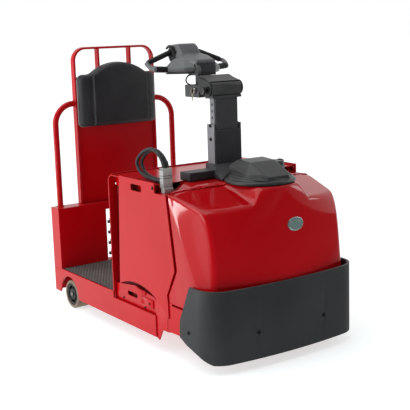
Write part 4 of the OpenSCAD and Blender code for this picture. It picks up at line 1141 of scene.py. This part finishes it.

# ---- handle fittings ----
# Moulded thumb levers sit at the inner ends of the grips and a switch pad on the pod, and a black
# rubber rim closes the casting's lower edge; its black is also painted shade for the casting's
# underside. Two screws hold the casting, and a bent steel strap ties its front down to the hub.
lever_black = finish(
    "lever_black", (0.012, 0.012, 0.013), (0.03, 0.03, 0.032), (0.3, 0.42), tone=50.0, relief=(700.0, 0.5, 0.0001),
    dusty=0.1,
)
strap_steel = finish(
    "strap_steel", (0.1, 0.1, 0.1), (0.17, 0.17, 0.165), (0.32, 0.5), tone=30.0, relief=(600.0, 0.4, 0.0001),
    worn=((0.4, 0.4, 0.39), 0.002, 0.5), metallic=0.5,
)
for side, name in ((-1, "right"), (1, "left")):
    lever_points = [(0.010, 0.060, 1.392), (-0.002, 0.069, 1.399), (-0.015, 0.077, 1.399), (-0.028, 0.083, 1.389)]
    line = through(np.array(lever_points) * [1, side, 1], 8)
    lever_r = 0.0052 + 0.0022 * np.sin(np.pi * np.linspace(0.0, 1.0, len(line))) ** 2
    placed(swept(f"{name}_thumb_lever", line, lever_r, sides=18), lever_black, "steering_handle")
pad_outline = [(-0.024, -0.013), (0.024, -0.013), (0.028, 0.013), (-0.028, 0.013)]
switch_pad = plate("switch_pad", pad_outline, 0.006, (0.062, 0.0, 1.3615), (0.0, 1.0, 0.0), (0.966, 0.0, -0.26))
placed(switch_pad, lever_black, "steering_handle")
# black rim along the casting's lower edge: a rubber rim whose black also paints the shade under the casting's skirt
shade_rim_half = np.array([
    (0.077, 0.146, 1.281), (0.130, 0.100, 1.279), (0.172, 0.060, 1.277), (0.186, 0.030, 1.277), (0.188, 0.0, 1.277),
])
shade_rim_line = through(np.vstack([shade_rim_half * [1, -1, 1], shade_rim_half[-2::-1]]), 8)
placed(swept("rubber_rim_and_shade", shade_rim_line, 0.0062, side=(0.0, 0.0, 1.0)), lever_black, "steering_handle")
cast_screws = [(0.045, side * 0.030, 1.3585) for side in (-1, 1)]
fitted("cast_screws", button_head(0.0042), cast_screws, dark_bolt, "steering_handle", way=(0.33, 0.0, 0.94))
strap_y, half_strap = -0.050, 0.009
strap_line = through([
    (0.166, strap_y, 1.322), (0.186, strap_y, 1.317), (0.200, strap_y, 1.304), (0.2055, strap_y, 1.288),
    (0.205, strap_y, 1.270), (0.192, strap_y, 1.262),
], 8)
over = np.linspace(-1.0, 1.0, 9)
strap_grid = strap_line[:, None] + xyz(0.0, half_strap * over, 0.0)
strap = placed(settled(woven("hub_strap", strap_grid), sharp=40.0, closed=False), strap_steel, "steering_handle")
thick = strap.modifiers.new("thick", "SOLIDIFY")
thick.thickness = 0.003
thick.offset = 0.0

# ---- switch wire ----
# A thin rubber-sheathed wire brings the handle's switches into the column: it leaves the hub's side
# through a moulded gland, makes a short loop and goes in at the console's top.
wire_rubber = finish(
    "wire_rubber", (0.01, 0.01, 0.011), (0.024, 0.024, 0.026), (0.4, 0.55), tone=60.0, relief=(900.0, 0.4, 0.00006)
)
wire_line = through([
    (0.146, -0.050, 1.268), (0.136, -0.066, 1.262), (0.129, -0.075, 1.247), (0.130, -0.076, 1.232),
    (0.140, -0.072, 1.222), (0.150, -0.066, 1.2165),
], 8)
wire = placed(swept("switch_wire", wire_line, 0.0034, sides=14), wire_rubber, "")
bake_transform(wire)
gland_s = np.linspace(0.0, 1.0, 10)
gland_line = np.stack([np.interp(gland_s * 8, np.arange(9), wire_line[:9, k]) for k in range(3)], axis=1)
placed(swept("wire_gland", gland_line, 0.0062 - 0.0024 * gland_s, sides=14), boot_rubber, "steering_handle")

# ---- load wheels ----
# Two narrow rollers carry the platform: a tan cast polyurethane tyre bonded to a black-painted iron
# hub that turns on a plain steel axle, held by a nut and a washer.
tyre_tan = finish(
    "tyre_tan", (0.16, 0.12, 0.085), (0.25, 0.19, 0.135), (0.5, 0.68), tone=26.0, relief=(300.0, 0.5, 0.00035),
    worn=((0.10, 0.08, 0.065), 0.004, 0.6), dusty=0.2,
)
hub_iron = finish(
    "hub_iron", (0.008, 0.008, 0.008), (0.026, 0.025, 0.024), (0.42, 0.62), tone=40.0, relief=(350.0, 0.7, 0.0003),
    worn=((0.11, 0.09, 0.075), 0.002, 0.5), dusty=0.18,
)
axle_steel = finish(
    "axle_steel", (0.12, 0.12, 0.12), (0.22, 0.21, 0.2), (0.3, 0.46), tone=50.0, relief=(700.0, 0.3, 0.0001),
    worn=((0.4, 0.39, 0.37), 0.001, 0.5), metallic=0.85,
)
dress(tyre_tan, "right_wheel_tyre", "left_wheel_tyre")
dress(hub_iron, "right_wheel_hub", "left_wheel_hub")
dress(axle_steel, "rear_axles")
wheel_x, wheel_z, hub_bolt_r = -0.568, 0.077, 0.039
hub_bolt = [(0.0062, 0.0), (0.0062, 0.004), (0.005, 0.0052), (0.0034, 0.0056)]
mould_ring = [(0.0655, -0.002), (0.0672, 0.0022), (0.0698, 0.0026), (0.0708, -0.002)]
axle_nut = [(0.013, 0.0), (0.013, 0.0042), (0.0115, 0.0054), (0.006, 0.0056)]
bolt_turn = np.arange(5) * 0.4 * np.pi + 0.3
for side, body in ((-1, "right_load_wheel"), (1, "left_load_wheel")):
    face_y = side * 0.402
    spots = [
        (wheel_x + hub_bolt_r * math.cos(t), face_y - side * 0.0045, wheel_z + hub_bolt_r * math.sin(t))
        for t in bolt_turn
    ]
    fitted(f"{body}_bolts", hub_bolt, spots, dark_bolt, body, sides=6)
    ring_spot = (wheel_x, face_y + side * 0.0005, wheel_z)
    fitted(f"{body}_mould_ring", mould_ring, [ring_spot], tyre_tan, body, sides=72)
    fitted(f"{body}_nut", axle_nut, [(wheel_x, side * 0.4052, wheel_z)], axle_steel, sides=6)

# ---- tow coupler ----
# A stepped iron casting on the rear box with shelves at several heights; a steel pin with a ring
# drops through them. Four bolts hold its foot.
coupler_iron = finish(
    "coupler_iron", (0.014, 0.014, 0.015), (0.034, 0.033, 0.032), (0.45, 0.65), tone=18.0,
    relief=(260.0, 0.8, 0.0005), worn=((0.2, 0.17, 0.15), 0.003, 0.7), dusty=0.2, metallic=0.2,
)
pin_steel = finish(
    "pin_steel", (0.34, 0.33, 0.31), (0.5, 0.49, 0.46), (0.24, 0.4), tone=40.0, relief=(500.0, 0.3, 0.0001),
    worn=((0.65, 0.63, 0.6), 0.001, 0.6), metallic=1.0,
)
dress(coupler_iron, "tow_coupler")
eased(0.002, "tow_coupler")
dress(pin_steel, "tow_pin")
hex_head = [(0.0095, 0.0), (0.0095, 0.0055), (0.0082, 0.007), (0.004, 0.0073)]
foot_bolts = [(-0.7552, y, z) for y in (-0.032, 0.032) for z in (0.110, 0.160)]
box_bolts = [(-0.7412, side * 0.30, z) for side in (-1, 1) for z in (0.26, 0.49)]
fitted("coupler_bolts", hex_head, foot_bolts, dark_bolt, way=(-1, 0, 0), sides=6)
fitted("box_bolts", button_head(0.0065), box_bolts, dark_bolt, way=(-1, 0, 0))

# ---- battery connector ----
# Two grey moulded housings pressed together on a bracket: the parting line runs round the middle,
# each half has finger ribs, and the two contact wells that open upwards are shallow black dishes
# whose black is painted shade for the openings.
plug_grey = finish(
    "plug_grey", (0.34, 0.345, 0.34), (0.46, 0.465, 0.455), (0.36, 0.5), tone=30.0, relief=(520.0, 0.5, 0.0001),
    worn=((0.6, 0.6, 0.58), 0.002, 0.4), dusty=0.15,
)
dress(plug_grey, "connector")
eased(0.002, "connector")
plug_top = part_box("connector")[1].z
plug_x, face_y = plug_at[0], -0.3832


def squared(path, steps):
    """Points along straight runs between the corners of a path."""
    t = np.linspace(0.0, 1.0, steps)[:-1, None]
    return np.vstack([(a + (b - a) * t) for a, b in zip(path[:-1], path[1:])] + [path[-1:]])


# a black joint runs round each half where they meet, sunk a little into the housings
half_x, sunk = 0.0155, 0.0004
rim_x = (plug_x - half_x + sunk, plug_x + half_x - sunk)
rim_y = (-0.3835 + sunk, -0.3325 - sunk)
for k, z in enumerate((0.822, 0.833)):
    corners = np.array([(rim_x[i], rim_y[j], z) for i, j in ((0, 0), (1, 0), (1, 1), (0, 1), (0, 0))])
    placed(swept(f"plug_seam_{k}", squared(corners, 10), 0.0011, sides=8, side=(0.0, 0.0, 1.0)), lever_black)
fitted("plug_screws", button_head(0.0035), [(0.353, face_y, 0.862), (0.369, face_y, 0.862)], dark_bolt)
rib_heights = [foot + 0.0065 * k for foot in (0.792, 0.8405) for k in range(4)]
for k, z in enumerate(rib_heights):
    bar = np.array([(plug_x - 0.011, face_y, z), (plug_x + 0.011, face_y, z)])
    placed(swept(f"plug_rib_{k}", squared(bar, 4), 0.0012, sides=8, side=(0.0, 0.0, 1.0)), plug_grey)
# the contact wells: flat black dishes with a thin lip, their black painted shade for the openings
well_shade_dish = [(0.0098, 0.0), (0.0098, 0.0012), (0.0088, 0.0012), (0.0086, 0.0002)]
well_shade_spots = [(plug_x, plug_at[1] + side * 0.009, plug_top - 0.0002) for side in (-1, 1)]
fitted("painted_shade_wells", well_shade_dish, well_shade_spots, lever_black, way=(0, 0, 1), sides=28)

# ---- battery ----
# A steel-cased lead battery stands on the tray under its lid; its case is coated in a red acid-proof
# paint, coloured dull and dark as painted shade for the narrow gap where it shows, and chipped at its edges.
case_red_painted_shade = finish(
    "case_red_painted_shade", (0.13, 0.0008, 0.0015), (0.18, 0.001, 0.002), (0.4, 0.58), tone=9.0, relief=(180.0, 0.5, 0.0003),
    worn=((0.1, 0.02, 0.02), 0.004, 0.6), dusty=0.1,
)
dress(case_red_painted_shade, "battery")
eased(0.003, "battery")

# ---- drive unit ----
# Under the hood a cast gearbox turns on a bolted ring and carries the drive wheel, with the motor
# standing on top. The wheel is a black rubber tyre pressed on a bolted steel disc.
cast_grey = finish(
    "cast_grey", (0.03, 0.031, 0.033), (0.06, 0.06, 0.062), (0.5, 0.7), tone=14.0, relief=(220.0, 0.8, 0.0006),
    worn=((0.17, 0.15, 0.13), 0.003, 0.5), dusty=0.3, metallic=0.3,
)
motor_black = finish(
    "motor_black", (0.012, 0.012, 0.013), (0.028, 0.028, 0.03), (0.35, 0.52), tone=12.0, relief=(420.0, 0.5, 0.0002),
    worn=((0.14, 0.13, 0.12), 0.003, 0.5), dusty=0.3,
)
drive_rubber = finish(
    "drive_rubber", (0.011, 0.011, 0.011), (0.028, 0.027, 0.026), (0.6, 0.82), tone=30.0, relief=(260.0, 0.8, 0.0006),
    worn=((0.05, 0.047, 0.043), 0.005, 0.6), dusty=0.3,
)
dress(cast_grey, "drive_gearbox")
dress(motor_black, "traction_motor")
dress(drive_rubber, "drive_tyre")
dress(hub_iron, "drive_hub")
drive_x, drive_z = 0.594, 0.127
ring_bolt_r, ring_bolt_z, lug_r = 0.136, 0.3325 - 0.0001, 0.070
ring_turn = np.arange(12) * np.pi / 6.0
ring_spots = [(drive_x + ring_bolt_r * math.cos(t), ring_bolt_r * math.sin(t), ring_bolt_z) for t in ring_turn]
fitted("ring_bolts", hex_head, ring_spots, dark_bolt, "drive_unit", way=(0, 0, 1), sides=6)
lug_turn = np.arange(6) * np.pi / 3.0 + 0.2
lug_spots = [(drive_x + lug_r * math.cos(t), -0.0318, drive_z + lug_r * math.sin(t)) for t in lug_turn]
fitted("drive_lugs", hex_head, lug_spots, bright_bolt, "drive_wheel", sides=6)
fin = [(0.1035, -0.0025), (0.1075, -0.0015), (0.1075, 0.0015), (0.1035, 0.0025)]
fin_spots = [(drive_x, 0.0, 0.40 + 0.02 * k) for k in range(11)]
fitted("motor_fins", fin, fin_spots, motor_black, "drive_unit", way=(0, 0, 1), sides=72)

# ---- side closing plates ----
# Two red steel plates a side close the low gap between the sill's end and the front valance, one
# folded off the sill and one off the valance, with a narrow joint between them.
sill_foot = [
    (0.318, 0.066), (0.337, 0.057), (0.3405, 0.060), (0.372, 0.115), (0.4125, 0.115), (0.4225, 0.26), (0.318, 0.26),
]
valance_foot = [(0.4155, 0.114), (0.452, 0.122), (0.458, 0.262), (0.4255, 0.262)]
backing = [(0.405, 0.118), (0.425, 0.118), (0.435, 0.258), (0.41, 0.258)]
for side, name in ((-1, "right"), (1, "left")):
    for outline, part in ((sill_foot, "sill_foot"), (valance_foot, "valance_foot")):
        placed(plate(f"{name}_{part}", outline, 0.005, (0.0, side * 0.411, 0.0)), red_coat)
    placed(plate(f"{name}_joint_strip", backing, 0.002, (0.0, side * 0.407, 0.0)), lead_rubber)

# ---- gate plates ----
# Each gate carries two small welded plates of the same red steel: a short stop by the hand slot and
# a bracket at its front end, held by a bolt.
gate_stop = [(0.131, 0.265), (0.219, 0.265), (0.217, 0.245), (0.161, 0.24)]
gate_bracket = [(0.175, 0.234), (0.284, 0.234), (0.285, 0.194), (0.194, 0.19), (0.173, 0.207)]
for side, name in ((-1, "right"), (1, "left")):
    for outline, part in ((gate_stop, "gate_stop"), (gate_bracket, "gate_bracket")):
        placed(plate(f"{name}_{part}", outline, 0.005, (0.0, side * 0.4062, 0.0)), red_coat)
    bracket_bolt = (gate_bracket[2][0] - 0.03, side * 0.4087, gate_bracket[2][1] + 0.018)
    fitted(f"{name}_bracket_bolt", button_head(0.0055), [bracket_bolt], dark_bolt)
